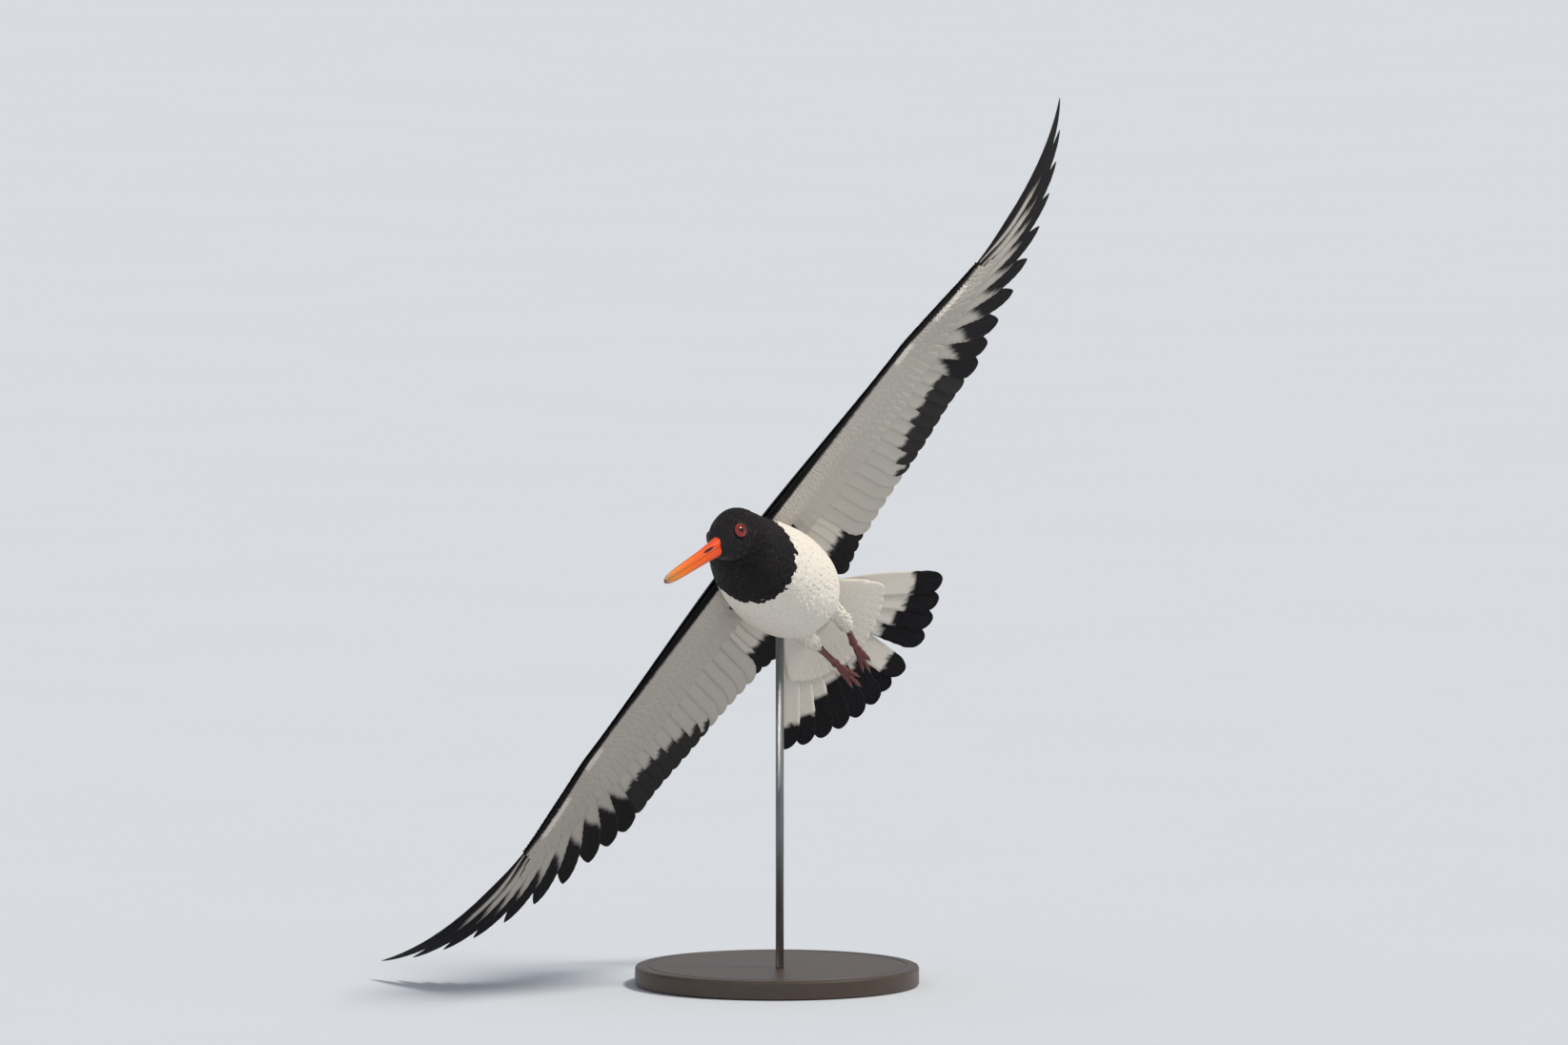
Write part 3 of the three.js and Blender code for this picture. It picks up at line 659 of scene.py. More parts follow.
def covert_row(place, above, back, length, width, first, last, stagger, ink):
    """One row of coverts along the wing, each a plate lying on the clothed surface."""
    spacing = width * 1.05
    outs = np.arange(first + stagger * spacing, last, spacing)
    outs = outs + rng.uniform(-0.12, 0.12, len(outs)) * spacing
    ranks = np.interp(outs, ROOT_OUTS, np.arange(len(FLIGHT)))
    chords = np.array([quill.chord / quill.length for quill in FLIGHT])
    low = np.clip(ranks.astype(int), 0, len(FLIGHT) - 2)
    way = unit(mix(chords[low], chords[low + 1], (ranks - low)[:, None]))
    cross = np.stack([-way[:, 1], way[:, 0]], -1)
    taper_off = smooth(last - TAPER_LENGTH, last, outs)
    deep = back * core_depth(outs) / CORE_BACK + TAPER_INSET * taper_off
    roots = np.stack([outs, front_edge(outs) - deep], -1)
    plate = WIDE if callable(length) else MIDDLE if length > 12 else SMALL
    hand = smooth(180, 215, outs)
    size = length(hand) if callable(length) else length * mix(1.0, 0.8, hand)
    size = size * rng.uniform(0.92, 1.08, len(outs)) * mix(1, 0.75, taper_off)
    half = width * rng.uniform(0.94, 1.08, len(outs))
    t = plate.t[None]
    taper = (vane_width(plate.t) if plate is WIDE else soft_width(plate.t))[None]
    spots = roots[:, None] + way[:, None] * (size[:, None] * t)[..., None]
    spots = spots + cross[:, None] * (half[:, None] * plate.u[None] * taper)[..., None]
    behind = np.maximum(front_edge(spots[..., 0]) - spots[..., 1], 0)
    lift = clothed_height(spots[..., 0], behind, above)
    lift = lift - 0.3 + 0.6 * smooth(0, 0.7, t) + 0.2 * plate.u[None] - 0.15 * plate.u[None] ** 2
    lift = lift + plate.side[None] * 0.06
    points = place(spots[..., 0], spots[..., 1], lift if above else -lift)
    marks = ink(spots[..., 0], behind, t, plate.u[None], hand[:, None])
    tone = rng.uniform(0, 1, len(outs))[:, None] + 0 * t
    unwrap = np.stack([outs / 300, deep / 60], -1) * 0.95 + 0.01
    return plate, points, unwrap, 0.003, mark_of(*marks, tone)


def black_above(out, back, t, u, hand):
    return 1.0 + 0 * (out + t), 0 * (out + t)


def white_bar(out, back, t, u, hand):
    ink = 1 - smooth(0.2, 0.34, t) * (1 - hand) * smooth(56, 70, out)
    # the second value is a slight painted shade on the white bar
    return ink, 0.1 + 0 * ink


def white_below(out, back, t, u, hand):
    # The second value is painted shade on the white under coverts, deeper on the hand; two spans near the
    # front edge lose it again as painted patches of light.
    edge = np.interp(out, [30, 100, 200, 270], [3.0, 3.6, 4.2, 4.6])
    painted_light_patch = smooth(177, 180, out) * (1 - smooth(195, 198, out))
    painted_light_patch = painted_light_patch + smooth(219, 223, out) * (1 - smooth(253, 258, out))
    painted_light_patch = painted_light_patch * (1 - smooth(10.5, 12.5, back))
    ink = 1 - smooth(edge - 0.8, edge + 0.4, back)
    return ink, np.clip(0.6 + 0.1 * hand - painted_light_patch, 0, 1) + 0 * t


# how far back from the front edge, length, half width
ABOVE_ROWS = [
    (0.2, 7, 2.6), (3.4, 8, 2.9), (7, 9, 3.2), (11, 11, 3.8), (15.5, 12.5, 4.2), (20.5, 14, 4.6),
    (26, 16, 5), (32, 20, 5.6),
]
BELOW_ROWS = [
    (0.2, 6, 2.4), (2.8, 7, 2.6), (5.6, 8, 3.0), (9, 10, 3.6), (13, 12, 4.2), (18, 14, 4.8),
    (24, 17, 5.4),
]


def greater(arm, hand_length):
    """A length that changes from the arm to the hand."""
    return lambda hand: mix(arm, hand_length, hand)


def coverts(name, place, above):
    rows = ABOVE_ROWS if above else BELOW_ROWS
    ink = black_above if above else white_below
    last = CORE_END - 2
    groups = [
        covert_row(place, above, back, size, half, 27, last - 0.25 * back, n % 2 / 2, ink)
        for n, (back, size, half) in enumerate(rows)
    ]
    big_ink = white_bar if above else white_below
    reach = greater(40, 44) if above else greater(40, 40)
    median = greater(27, 26)
    big = [covert_row(place, above, 38 if above else 34, reach, 6.2, 27, last - 8, 0, big_ink)]
    big.append(covert_row(place, above, 34 if above else 29, median, 5.6, 27, last - 6, 0.5, ink))
    kind = "upper" if above else "under"
    slot_name = "black_plumage" if above else "white_plumage"
    for size, rows, material in (("small", groups, small_plumage), ("great", big, covert_plumage)):
        piece = feather_piece(f"{size}_{kind}wing_coverts_{name}", rows, material, slot_name)
        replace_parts(piece, f"wing_{name}")


for name, place in SURFACES.items():
    coverts(name, place, True)
    coverts(name, place, False)

# %% [markdown]
# ## Tail
# Twelve feathers fan out from one point, the middle pair on top. A black band crosses their tips,
# with its depth given for each feather. White coverts lap over their roots above and below.

# %% The tail's fan
FAN_AT = np.array((-109, 0, 8.4))
FAN_BACK, FAN_UP = np.array((-0.899, 0, -0.438)), np.array((-0.438, 0, 0.899))
TAIL_ROOT, TAIL_REACH = 15, 136
BANDS = (19, 24, 35, 43, 44, 40, 32, 19, 40, 34, 28, 25)
TAIL_FEATHERS = len(BANDS)
FAN_ANGLES = np.array([-46 + 6.8 * k + (5.2 if k > 7 else 0) for k in range(TAIL_FEATHERS)])


def on_fan(reach, degrees, up):
    angle = np.radians(degrees)[..., None]
    flat = FAN_BACK * np.cos(angle) + np.array((0, 1, 0)) * np.sin(angle)
    return FAN_AT + flat * np.asarray(reach)[..., None] + FAN_UP * np.asarray(up)[..., None]


def fan_rank(degrees):
    k = np.clip(np.searchsorted(FAN_ANGLES, degrees) - 1, 0, 10)
    return k + (degrees - FAN_ANGLES[k]) / (FAN_ANGLES[k + 1] - FAN_ANGLES[k])


def tail_feather(k):
    u, t, side = LONG.u, LONG.t, LONG.side
    left_half = k > 5.5
    reach = TAIL_REACH - 0.06 * (k - 5.5) ** 2
    radius = mix(TAIL_ROOT, reach, t)
    web = np.where((u > 0) == left_half, 7.5, 11.5)
    blunt_end = (1 - np.clip((t - 0.87) / 0.13, 0, 1) ** 2.4) ** 0.5
    width = np.maximum(mix(0.16, 1, smooth(0, 0.6, t)) * blunt_end, 0.04)
    ragged = 1 + 0.02 * np.sin(t * 80 + k * 2.3) * np.abs(u) ** 4
    swing = np.degrees(np.arctan2(width * web * u * ragged, radius))
    rank = fan_rank(FAN_ANGLES[k] + swing)
    tuck = np.abs(rank - 5.5) - abs(k - 5.5)
    over = 1.3 if k == 6 else 0.0
    shaft = 0.28 * np.exp(-((u / 0.08) ** 2)) * (1 - 0.75 * t)
    points = on_fan(radius, FAN_ANGLES[k] + swing, over + 0.8 * tuck + side * (0.14 + shaft))
    band = BANDS[k] + 1.2 * np.sin(u * 4 + k) + 0.5 * np.sin(u * 17 + k * 3)
    ink = smooth(-1.0, 1.0, radius - (reach - band))
    # 0.22 is painted shade that greys the white base of the tail
    return points, mark_of(ink, 0.22, 0.12)


made = [tail_feather(k) for k in range(TAIL_FEATHERS)]
tail = long_feathers("tail_feathers", made, 0.08, 0.07)
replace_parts(tail, "tail")


def tail_coverts(count, reach, lift, half, root):
    """A row of white coverts over the roots of the fan. A negative lift lays it below."""
    plate = WIDE
    angles = np.linspace(-41, 31, count) * min(1, reach / 84 + 0.15) + rng.uniform(-1, 1, count)
    t = plate.t[None]
    size = reach - root - 0.006 * angles**2
    radius = root + size[:, None] * t
    taper = vane_width(plate.t)[None]
    swing = np.degrees(np.arctan2(half * taper * plate.u[None], radius))
    sign = np.sign(lift)
    fall = abs(lift) * (1 - 0.22 * smooth(0.4, 1, t))
    up = sign * (fall + 0.1 * smooth(0, 0.5, t) - 0.25 * smooth(0.8, 1, t) - 0.25 * plate.u[None] ** 2)
    points = on_fan(radius, angles[:, None] + swing, up + 0.03 * plate.side[None] * sign)
    tone = rng.uniform(0, 1, count)[:, None] + 0 * t
    unwrap = np.stack([(angles + 50) / 100, np.full(count, reach / 160)], -1)
    # 0.12 is painted shade that greys the white coverts
    return plate, points, unwrap, 0.003, mark_of(0 * tone, 0.12 + 0 * tone, tone)


# how many, reach, lift, half width, root
UNDERTAIL = [
    (20, 90, -2.3, 6.5, 22), (19, 81, -2.4, 6.5, 20), (18, 72, -2.5, 6.5, 16), (17, 63, -2.65, 6.5, 12),
    (16, 54, -2.8, 6.5, 8), (15, 45, -3.0, 6.5, 6),
]
UPPERTAIL = [
    (20, 70, 2.3, 6.5, 20), (19, 61, 2.5, 6, 15), (17, 52, 2.8, 6, 10), (15, 44, 3.2, 6, 6),
]
for kind, rows in (("undertail", UNDERTAIL), ("uppertail", UPPERTAIL)):
    groups = [tail_coverts(*row) for row in rows]
    piece = feather_piece(f"{kind}_coverts", groups, small_plumage, "white_plumage")
    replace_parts(piece, "tail")

# %% [markdown]
# ## One skin
# Trunk, head and the fleshy front of both wings are joined into one closed skin, so no seam shows
# where they meet. They are laid through each other, melted together by a voxel remesh and smoothed.

# %% The sections of trunk and head
TRUNK = [
    [-155, 0, -14, 0, 0, 0], [-149, 0, -12, 14, 3, 5], [-132, 0, -5, 23, 8, 14],
    [-110, 0, -4, 29, 15, 25], [-84, 0, -12, 34, 24, 36], [-55, 0, -20, 39, 32, 45],
    [-25, 0, -24, 40.5, 36, 45], [5, 0, -25, 38, 35, 40], [30, 0.5, -24, 33, 31, 36],
    [48, 2, -24, 29, 27, 31], [62, 4, -24, 25.5, 24, 27], [71, 5.5, -24, 20, 19, 21],
    [76.5, 6, -24, 12, 12, 13], [78, 6, -24, 0, 0, 0],
]
HEAD = [
    [-27, 0, 0, 0, 0, 0], [-26, 0, 0, 8, 8.5, 10], [-19, 0, 0, 14.5, 15.5, 16],
    [-8, 0, 1, 17.5, 19, 19], [5, 0, 0.5, 17, 18.5, 18], [15, 0, 0, 13.7, 14.5, 14.5],
    [22, 0, -1, 9.5, 8.5, 10], [27, 0, -1.5, 6, 5.5, 6.5], [28.5, 0, -1.5, 0, 0, 0],
]
HEAD_PLACE = Matrix.Translation(HEAD_AT) @ turn("Z", -36) @ turn("Y", 11) @ turn("X", -46)
HEAD_MATRIX = np.array(HEAD_PLACE)
EYE_AT, EYE_RADIUS = np.array((8, 11.6, 4)), 5.2
EYE_AXIS = unit(np.array((0.25, 0.95, 0.18)))
LID_RADIUS, LID_TUBE, LID_FORWARD = 4.6, 0.75, 3.1
COAT_DEPTH = 1.5


def from_head(points):
    return np.asarray(points) @ HEAD_MATRIX[:3, :3].T + HEAD_MATRIX[:3, 3]


def to_head(points):
    return (np.asarray(points) - HEAD_MATRIX[:3, 3]) @ HEAD_MATRIX[:3, :3]


def mirrored(v, side):
    return np.array(v) * (1, side, 1)


# %% Wing arms, then everything melted together
def wing_arm(bm, place):
    ball = bmesh.ops.create_uvsphere(bm, u_segments=20, v_segments=60, radius=1)
    for v in ball["verts"]:
        q = from_pole(v.co)
        out = mix(10, CORE_END, q)
        angle = math.atan2(v.co.y, v.co.x)
        depth = core_depth(out)
        back = depth * (0.5 - 0.5 * math.cos(angle) * 0.96)
        height = clothed_height(out, back, math.sin(angle) > 0) - 0.9
        tall = max(height, 0.6) * abs(math.sin(angle)) ** 0.6 * math.sin(math.pi * q) ** 0.25
        tapered = smooth(CORE_END - TAPER_LENGTH, CORE_END, out)
        inset = TAPER_INSET * tapered * (1 - back / depth)
        flat = np.array(front_edge(out) - back - inset)
        v.co = place(np.array(out), flat, math.copysign(tall, math.sin(angle)))


THIGHS = {
    "left": (9, [(-112, 6, -43.5, 6), (-122, 3.5, -45.3, 4.6), (-128, 2, -45.6, 0)]),
    "right": (-19, [(-101, -21, -43, 5), (-107, -21, -44.5, 3), (-109, -21, -45, 0)]),
}


def thigh(bm, hip, end):
    """The feathered thigh, from the belly to its own end over the leg."""
    rows = [(-62, hip, -26, 9), (-76, hip, -34, 9.5), (-90, mix(hip, end[0][1], 0.4), -40, 7.5), *end]
    limb(bm, rows, 20, 24)


def melted_skin():
    bm = bmesh.new()
    for hip, end in THIGHS.values():
        thigh(bm, hip, end)
    body_of(bm, TRUNK, 48, 60, COAT_DEPTH)
    head = body_of(bm, HEAD, 40, 36, 1.0)
    bmesh.ops.transform(bm, matrix=HEAD_PLACE, verts=head)
    for place in SURFACES.values():
        wing_arm(bm, place)
    bmesh.ops.recalc_face_normals(bm, faces=bm.faces[:])
    rough = bpy.data.meshes.new("rough")
    bm.to_mesh(rough)
    bm.free()
    holder = placed("rough", rough)
    remesh = holder.modifiers.new("melt", "REMESH")
    remesh.mode, remesh.voxel_size = "VOXEL", 1.5
    bpy.context.view_layer.update()
    evaluated = holder.evaluated_get(bpy.context.evaluated_depsgraph_get())
    bm = bmesh.new()
    bm.from_mesh(evaluated.to_mesh())
    bpy.data.objects.remove(holder)
    bpy.data.meshes.remove(rough)
    for _ in range(4):
        bmesh.ops.smooth_vert(
            bm, verts=bm.verts[:], factor=0.5, use_axis_x=True, use_axis_y=True, use_axis_z=True
        )
    return bm


skin_mesh = melted_skin()
print("skin", len(skin_mesh.faces), "faces")

# %% Hollows for the eyes
EYES = {name: (mirrored(EYE_AT, s), mirrored(EYE_AXIS, s)) for name, s in (("left", 1), ("right", -1))}


def round_eye(points):
    """For points in the head's frame: how far aside of each eye's axis, and how far out along it."""
    found = []
    for at, axis in EYES.values():
        out = (points - at) @ axis
        aside = np.linalg.norm(points - at - out[..., None] * axis, axis=-1)
        found.append((aside, out))
    return found


def hollow_eyes(bm):
    for v in bm.verts:
        if (v.co - Vector(HEAD_MATRIX[:3, 3])).length > 32:
            continue
        p = to_head(np.array(v.co))
        for (aside, out), (_, axis) in zip(round_eye(p), EYES.values()):
            floor = mix(2.2, 9.0, float(smooth(LID_RADIUS + 0.3, LID_RADIUS + 2.0, aside)))
            if out > floor:
                p = p + axis * (floor - out)
        v.co = from_head(p)


hollow_eyes(skin_mesh)
SKIN_POINTS = np.array([v.co for v in skin_mesh.verts])
skin_mesh.normal_update()
SKIN_NORMALS = np.array([v.normal for v in skin_mesh.verts])
skin_tree = BVHTree.FromBMesh(skin_mesh)

# %% [markdown]
# ### The bird's markings
# Skin and feathers take their black and white from one rule in the bird's frame: a black hood that
# ends straight across the breast, a black mantle, a white wedge up the lower back, a white belly.

# %% Where the body is black


def body_ink(points):
    x, y, z = points[..., 0], points[..., 1], points[..., 2]
    ripple = 1.2 * np.sin(y * 0.45 + z * 0.3) + 0.7 * np.sin(y * 1.1 - z * 0.8)
    low = np.clip((-24 - z) / 40, 0, 1)
    hood_line = 31 - 3.5 * low + 4 * np.clip((np.abs(y) - 18) / 20, 0, 1)
    hood = smooth(-0.8, 0.8, x + ripple * 0.6 - hood_line)
    line = np.interp(x, [-120, -60, 0, 12, 31, 60], [4, 2, -3, -15, -20, -30])
    dorsal = smooth(-1.0, 1.0, z + ripple * 0.5 - line)
    wedge_half = np.interp(x, [-112, -98, -75, -50, -30], [60, 28, 19, 10, 0])
    wedge = 1 - smooth(-1.0, 1.0, np.abs(y) + ripple * 0.5 - wedge_half)
    behind = 1 - smooth(-112, -106, x + ripple)
    mantle = dorsal * (1 - np.maximum(wedge * (x < -29), behind))
    return np.maximum(hood, mantle)


def skin_ink(points, normals):
    """The body's rule, and on the wings black above and white below."""
    ink = body_ink(points)
    back = front_edge(np.abs(points[:, 1])) - points[:, 0]
    wing = smooth(38, 44, np.abs(points[:, 1]))
    upper = smooth(-0.15, 0.15, normals[:, 2])
    wing_ink = np.maximum(upper, 1 - smooth(2.8, 4.5, back))
    return mix(ink, wing_ink, wing)


finish = Finish("feathered_skin", Sheen_Weight=0.1, Specular_IOR_Level=0.2)
down = finish.noise(finish.place(), 700.0)
ink = finish.mark(0)
pale = finish.blend(WHITE, SHADE, down * 0.3 + 0.1)
color = finish.blend(pale, finish.blend(BLACK, BROWN, down * 0.5), ink)
skin_finish = finish.use(
    Base_Color=color, Roughness=0.85 - ink * 0.1, Normal=finish.bump(down, 0.5, 0.0004)
)

skin = mesh_piece("skin", skin_mesh, skin_finish)
tone = np.ones((len(SKIN_POINTS), 4))
tone[:, 0] = skin_ink(SKIN_POINTS, SKIN_NORMALS)
tone[:, 1:3] = 0.3
paint(skin.data, tone)
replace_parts(skin, "torso", "neck", "head", "wing_left", "wing_right", "tail")

# %% [markdown]
# ## Body feathers
# They lie back from the bill like tiles, tiny on the face, larger on the breast and flanks. Roots
# are strewn evenly by keeping each a set distance from its neighbours, and every feather then
# walks back over the skin, so it hugs the form wherever it grows.

# %% How long and how close the feathers are


def feather_length(points):
    head = to_head(points)
    from_bill = np.linalg.norm(head - np.array((26, 0, -1)), axis=-1)
    on_head = np.interp(from_bill, [4, 14, 30, 50, 75], [2.6, 3.8, 5.2, 6.6, 9.0])
    trunk = np.interp(points[..., 0], [-150, -110, -60, 0, 40, 60], [15, 16, 15.5, 14, 11, 8.5])
    return np.minimum(on_head, trunk)


def lie(points, normals):
    """The direction in which feathers point: away from the bill, then along the body."""
    head = to_head(points)
    away = (head - np.array((30, 0, -1))) @ HEAD_MATRIX[:3, :3].T
    reach = np.linalg.norm(away, axis=-1, keepdims=True)
    outward_part = away / np.maximum(reach, 1e-6)
    back = np.array((-1.0, 0, 0)) + 0 * points
    drift = np.stack([0 * points[..., 0], points[..., 1] * 0.002, 0 * points[..., 0]], -1)
    way = mix(outward_part, back + drift, smooth(45, 90, reach))
    way = way - normals * (way * normals).sum(-1, keepdims=True)
    return unit(way)


ROOT_SPREAD = 0.31
PICKS = 80000
CELL = 7  # wider than any gap between roots, so only neighbouring cells need a look


def strewn_roots(spread):
    """Seeded points on the skin, each at least spread x its own length from the others."""
    faces = skin.data
    areas = np.zeros(len(faces.polygons))
    faces.polygons.foreach_get("area", areas)
    picks = rng.choice(len(areas), size=PICKS, p=areas / areas.sum())
    centres = np.zeros(len(areas) * 3)
    faces.polygons.foreach_get("center", centres)
    room = centres.reshape(-1, 3)[picks] / MM
    points = (room - BIRD[:3, 3]) @ BIRD[:3, :3]
    points = points + rng.uniform(-0.8, 0.8, points.shape)
    keep = (np.abs(points[:, 1]) < 45) & (points[:, 0] > -150)
    points = points[keep]
    gaps = feather_length(points) * spread
    cells, roots = {}, []
    for p, gap in zip(points, gaps):
        cell = tuple((p // CELL).astype(int))
        near = [
            q
            for i in (-1, 0, 1)
            for j in (-1, 0, 1)
            for k in (-1, 0, 1)
            for q in cells.get((cell[0] + i, cell[1] + j, cell[2] + k), ())
        ]
        if near and np.min(((np.array(near) - p) ** 2).sum(1)) < gap * gap:
            continue
        cells.setdefault(cell, []).append(p)
        roots.append(p)
    return np.array(roots)


roots = strewn_roots(ROOT_SPREAD)
print(len(roots), "body feathers")

# %% Each feather walks over the skin
STATIONS = 5


def walk(root, size):
    """Points and normals along one feather, on the skin."""
    point, normal, _, _ = skin_tree.find_nearest(Vector(root))
    line, normals = [np.array(point)], [np.array(normal)]
    for _ in range(STATIONS - 1):
        way = lie(line[-1], normals[-1])
        ahead = line[-1] + way * size / (STATIONS - 1)
        point, normal, _, _ = skin_tree.find_nearest(Vector(ahead))
        line.append(np.array(point))
        normals.append(np.array(normal))
    return line, normals


def along_walks(lines, normals, plate):
    """Middle, sideways and outward directions of plates laid along their walks."""
    place = plate.t * (STATIONS - 1)
    i = np.minimum(place.astype(int), STATIONS - 2)
    share = (place - i)[None, :, None]
    middle = mix(lines[:, i], lines[:, i + 1], share)
    up = unit(mix(normals[:, i], normals[:, i + 1], share))
    way = unit(lines[:, -1] - lines[:, 0])[:, None]
    return middle, unit(np.cross(way, up)), up


def body_coat(name, roots, plate, slot_name, lift):
    sizes = feather_length(roots) * rng.uniform(0.9, 1.12, len(roots))
    walks = [walk(root, size) for root, size in zip(roots, sizes)]
    lines = np.array([w[0] for w in walks])
    normals = unit(np.array([w[1] for w in walks]))
    middle, cross, up = along_walks(lines, normals, plate)
    half = sizes * 0.36 * rng.uniform(0.92, 1.1, len(roots))
    offset = half[:, None] * plate.u[None] * soft_width(plate.t)[None]
    roll = rng.uniform(-0.02, 0.02, len(roots))[:, None]
    drop = 0.05 * half[:, None] * plate.u[None] ** 2
    thick = np.minimum(0.035, sizes * 0.006)[:, None] * plate.side[None]
    height = lift * sizes[:, None] * smooth(0.0, 0.8, plate.t)[None] - 0.12
    height = height - drop + roll * offset + thick
    points = middle + cross * offset[..., None] + up * height[..., None]
    root_ink = body_ink(lines[:, 1])
    ink = np.round(root_ink)[:, None] + 0 * plate.t[None]
    tone = rng.uniform(0, 1, len(roots))[:, None] + 0 * plate.t[None]
    angle = np.arctan2(roots[:, 2] + 24, roots[:, 1]) / (2 * np.pi) + 0.5
    unwrap = np.stack([angle * 0.98, (roots[:, 0] + 155) / 265 * 0.98], -1)
    # 0.04 is a faint painted shade on the white body feathers
    group = (plate, points, unwrap, 0.003, mark_of(ink, 0.04 + 0 * ink, tone))
    return feather_piece(name, [group], small_plumage, slot_name)


def clear_of_face(points):
    """Roots that are neither on an eye nor inside the bill."""
    head = to_head(points)
    clear = np.ones(len(points), bool)
    for aside, out in round_eye(head):
        clear &= ~((aside < LID_RADIUS + 0.9) & (out > 0))
    bill = (head[:, 0] > 20) & (np.hypot(head[:, 1], head[:, 2]) < 6.0)
    return clear & ~bill


roots = roots[clear_of_face(roots)]
on_head = np.linalg.norm(roots - HEAD_MATRIX[:3, 3], axis=1) < 34
front = ~on_head & (roots[:, 0] > 31)
below = ~on_head & ~front & (roots[:, 2] < -8)
above = ~on_head & ~front & ~below
for name, chosen, plate, slot_name, nodes in (
    ("head_feathers", on_head, SMALL, "black_plumage", ["head"]),
    ("neck_feathers", front, SMALL, "black_plumage", ["neck"]),
    ("belly_feathers_left", below & (roots[:, 1] > 0), MIDDLE, "white_plumage", ["torso"]),
    ("belly_feathers_right", below & (roots[:, 1] <= 0), MIDDLE, "white_plumage", ["torso"]),
    ("back_feathers", above, MIDDLE, "black_plumage", ["torso"]),
):
    piece = body_coat(name, roots[chosen], plate, slot_name, 0.018 if plate is MIDDLE else 0.034)
    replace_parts(piece, *nodes)

# %% [markdown]
# ### Scapulars
# Longer black feathers spring from the shoulder and lie back over the joint of wing and body. They
# walk over the same skin, a little higher than the small feathers that they cover.

# %% Feathers over the shoulder joint


def scapular_roots(side):
    """Rows of roots along the shoulder, from the back outwards."""
    spots = []
    for row, aside in enumerate((17, 23, 29, 34)):
        for x in np.arange(2 - 2 * row, -48, -6.5):
            spots.append((x - 3.2 * (row % 2), side * aside, 12 - 0.25 * aside))
    return np.array(spots) + rng.uniform(-0.8, 0.8, (len(spots), 3))


def shoulder_coat(name, roots):
    plate = WIDE
    sizes = np.interp(roots[:, 0], [-50, 0], [34, 24]) * rng.uniform(0.93, 1.08, len(roots))
    walks = [walk(root, size) for root, size in zip(roots, sizes)]
    on_back = np.array([min(normal[2] for normal in normals) > 0.2 for _, normals in walks])
    roots, sizes = roots[on_back], sizes[on_back]
    lines = np.array([line for line, _ in walks])[on_back]
    normals = unit(np.array([normals for _, normals in walks])[on_back])
    normals = unit(normals + normals.mean(1, keepdims=True))
    middle, cross, up = along_walks(lines, normals, plate)
    offset = 5.2 * plate.u[None] * soft_width(plate.t)[None] * rng.uniform(0.92, 1.1, len(roots))[:, None]
    height = 0.4 + 1.7 * smooth(0, 0.7, plate.t)[None] - 0.012 * offset**2 + 0.05 * plate.side[None]
    points = middle + cross * offset[..., None] + up * height[..., None]
    tone = rng.uniform(0, 1, len(roots))[:, None] + 0 * plate.t[None]
    unwrap = np.stack([(roots[:, 0] + 80) / 120, np.abs(roots[:, 1]) / 60], -1)
    group = (plate, points, unwrap, 0.003, mark_of(1 + 0 * tone, 0 * tone, tone))
    return feather_piece(name, [group], covert_plumage, "black_plumage")


for name, wing in WINGS.items():
    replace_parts(shoulder_coat(f"scapulars_{name}", scapular_roots(wing["side"])), "torso")

# %% [markdown]
# ## Eyes
# A glass eye is a ball with a black pupil and a deep red iris behind a clear, glossy front. The
# rings of the ball's mesh run round the line of sight, so the pupil's edge is a clean circle.

# %% Glass eyes and their lids
finish = Finish("glass_eye", Coat_Weight=0.5, Coat_Roughness=0.03, Specular_IOR_Level=0.35)
ring = finish.mark(0)
streaks = finish.noise(finish.place(), 2600.0)
# The iris reds are the eye's own red, darkened by painted shade.
IRIS_STOPS = [
    (0.0, (0.002, 0.002, 0.002)), (0.25, (0.002, 0.002, 0.002)), (0.285, (0.24, 0.006, 0.002)),
    (0.5, (0.34, 0.013, 0.004)), (0.66, (0.14, 0.004, 0.002)), (0.8, (0.01, 0.003, 0.002)),
]
iris = finish.node("ShaderNodeValToRGB", {"stops": IRIS_STOPS}, {0: ring})
color = finish.blend(iris, (0.05, 0.002, 0.001), streaks * ring * 0.4)
eye_glass = finish.use(Base_Color=color, Roughness=0.12)

finish = Finish("eyelid_skin", Specular_IOR_Level=0.4, Coat_Weight=0.15)
folds = finish.noise(finish.place(), 3200.0)
# The lid's reds are the orange red of the eye ring, darkened by painted shade.
color = finish.blend((0.25, 0.018, 0.005), (0.14, 0.008, 0.003), folds)
lid_skin = finish.use(
    Base_Color=color, Roughness=0.42 + folds * 0.2, Normal=finish.bump(folds, 0.7, 0.0002)
)

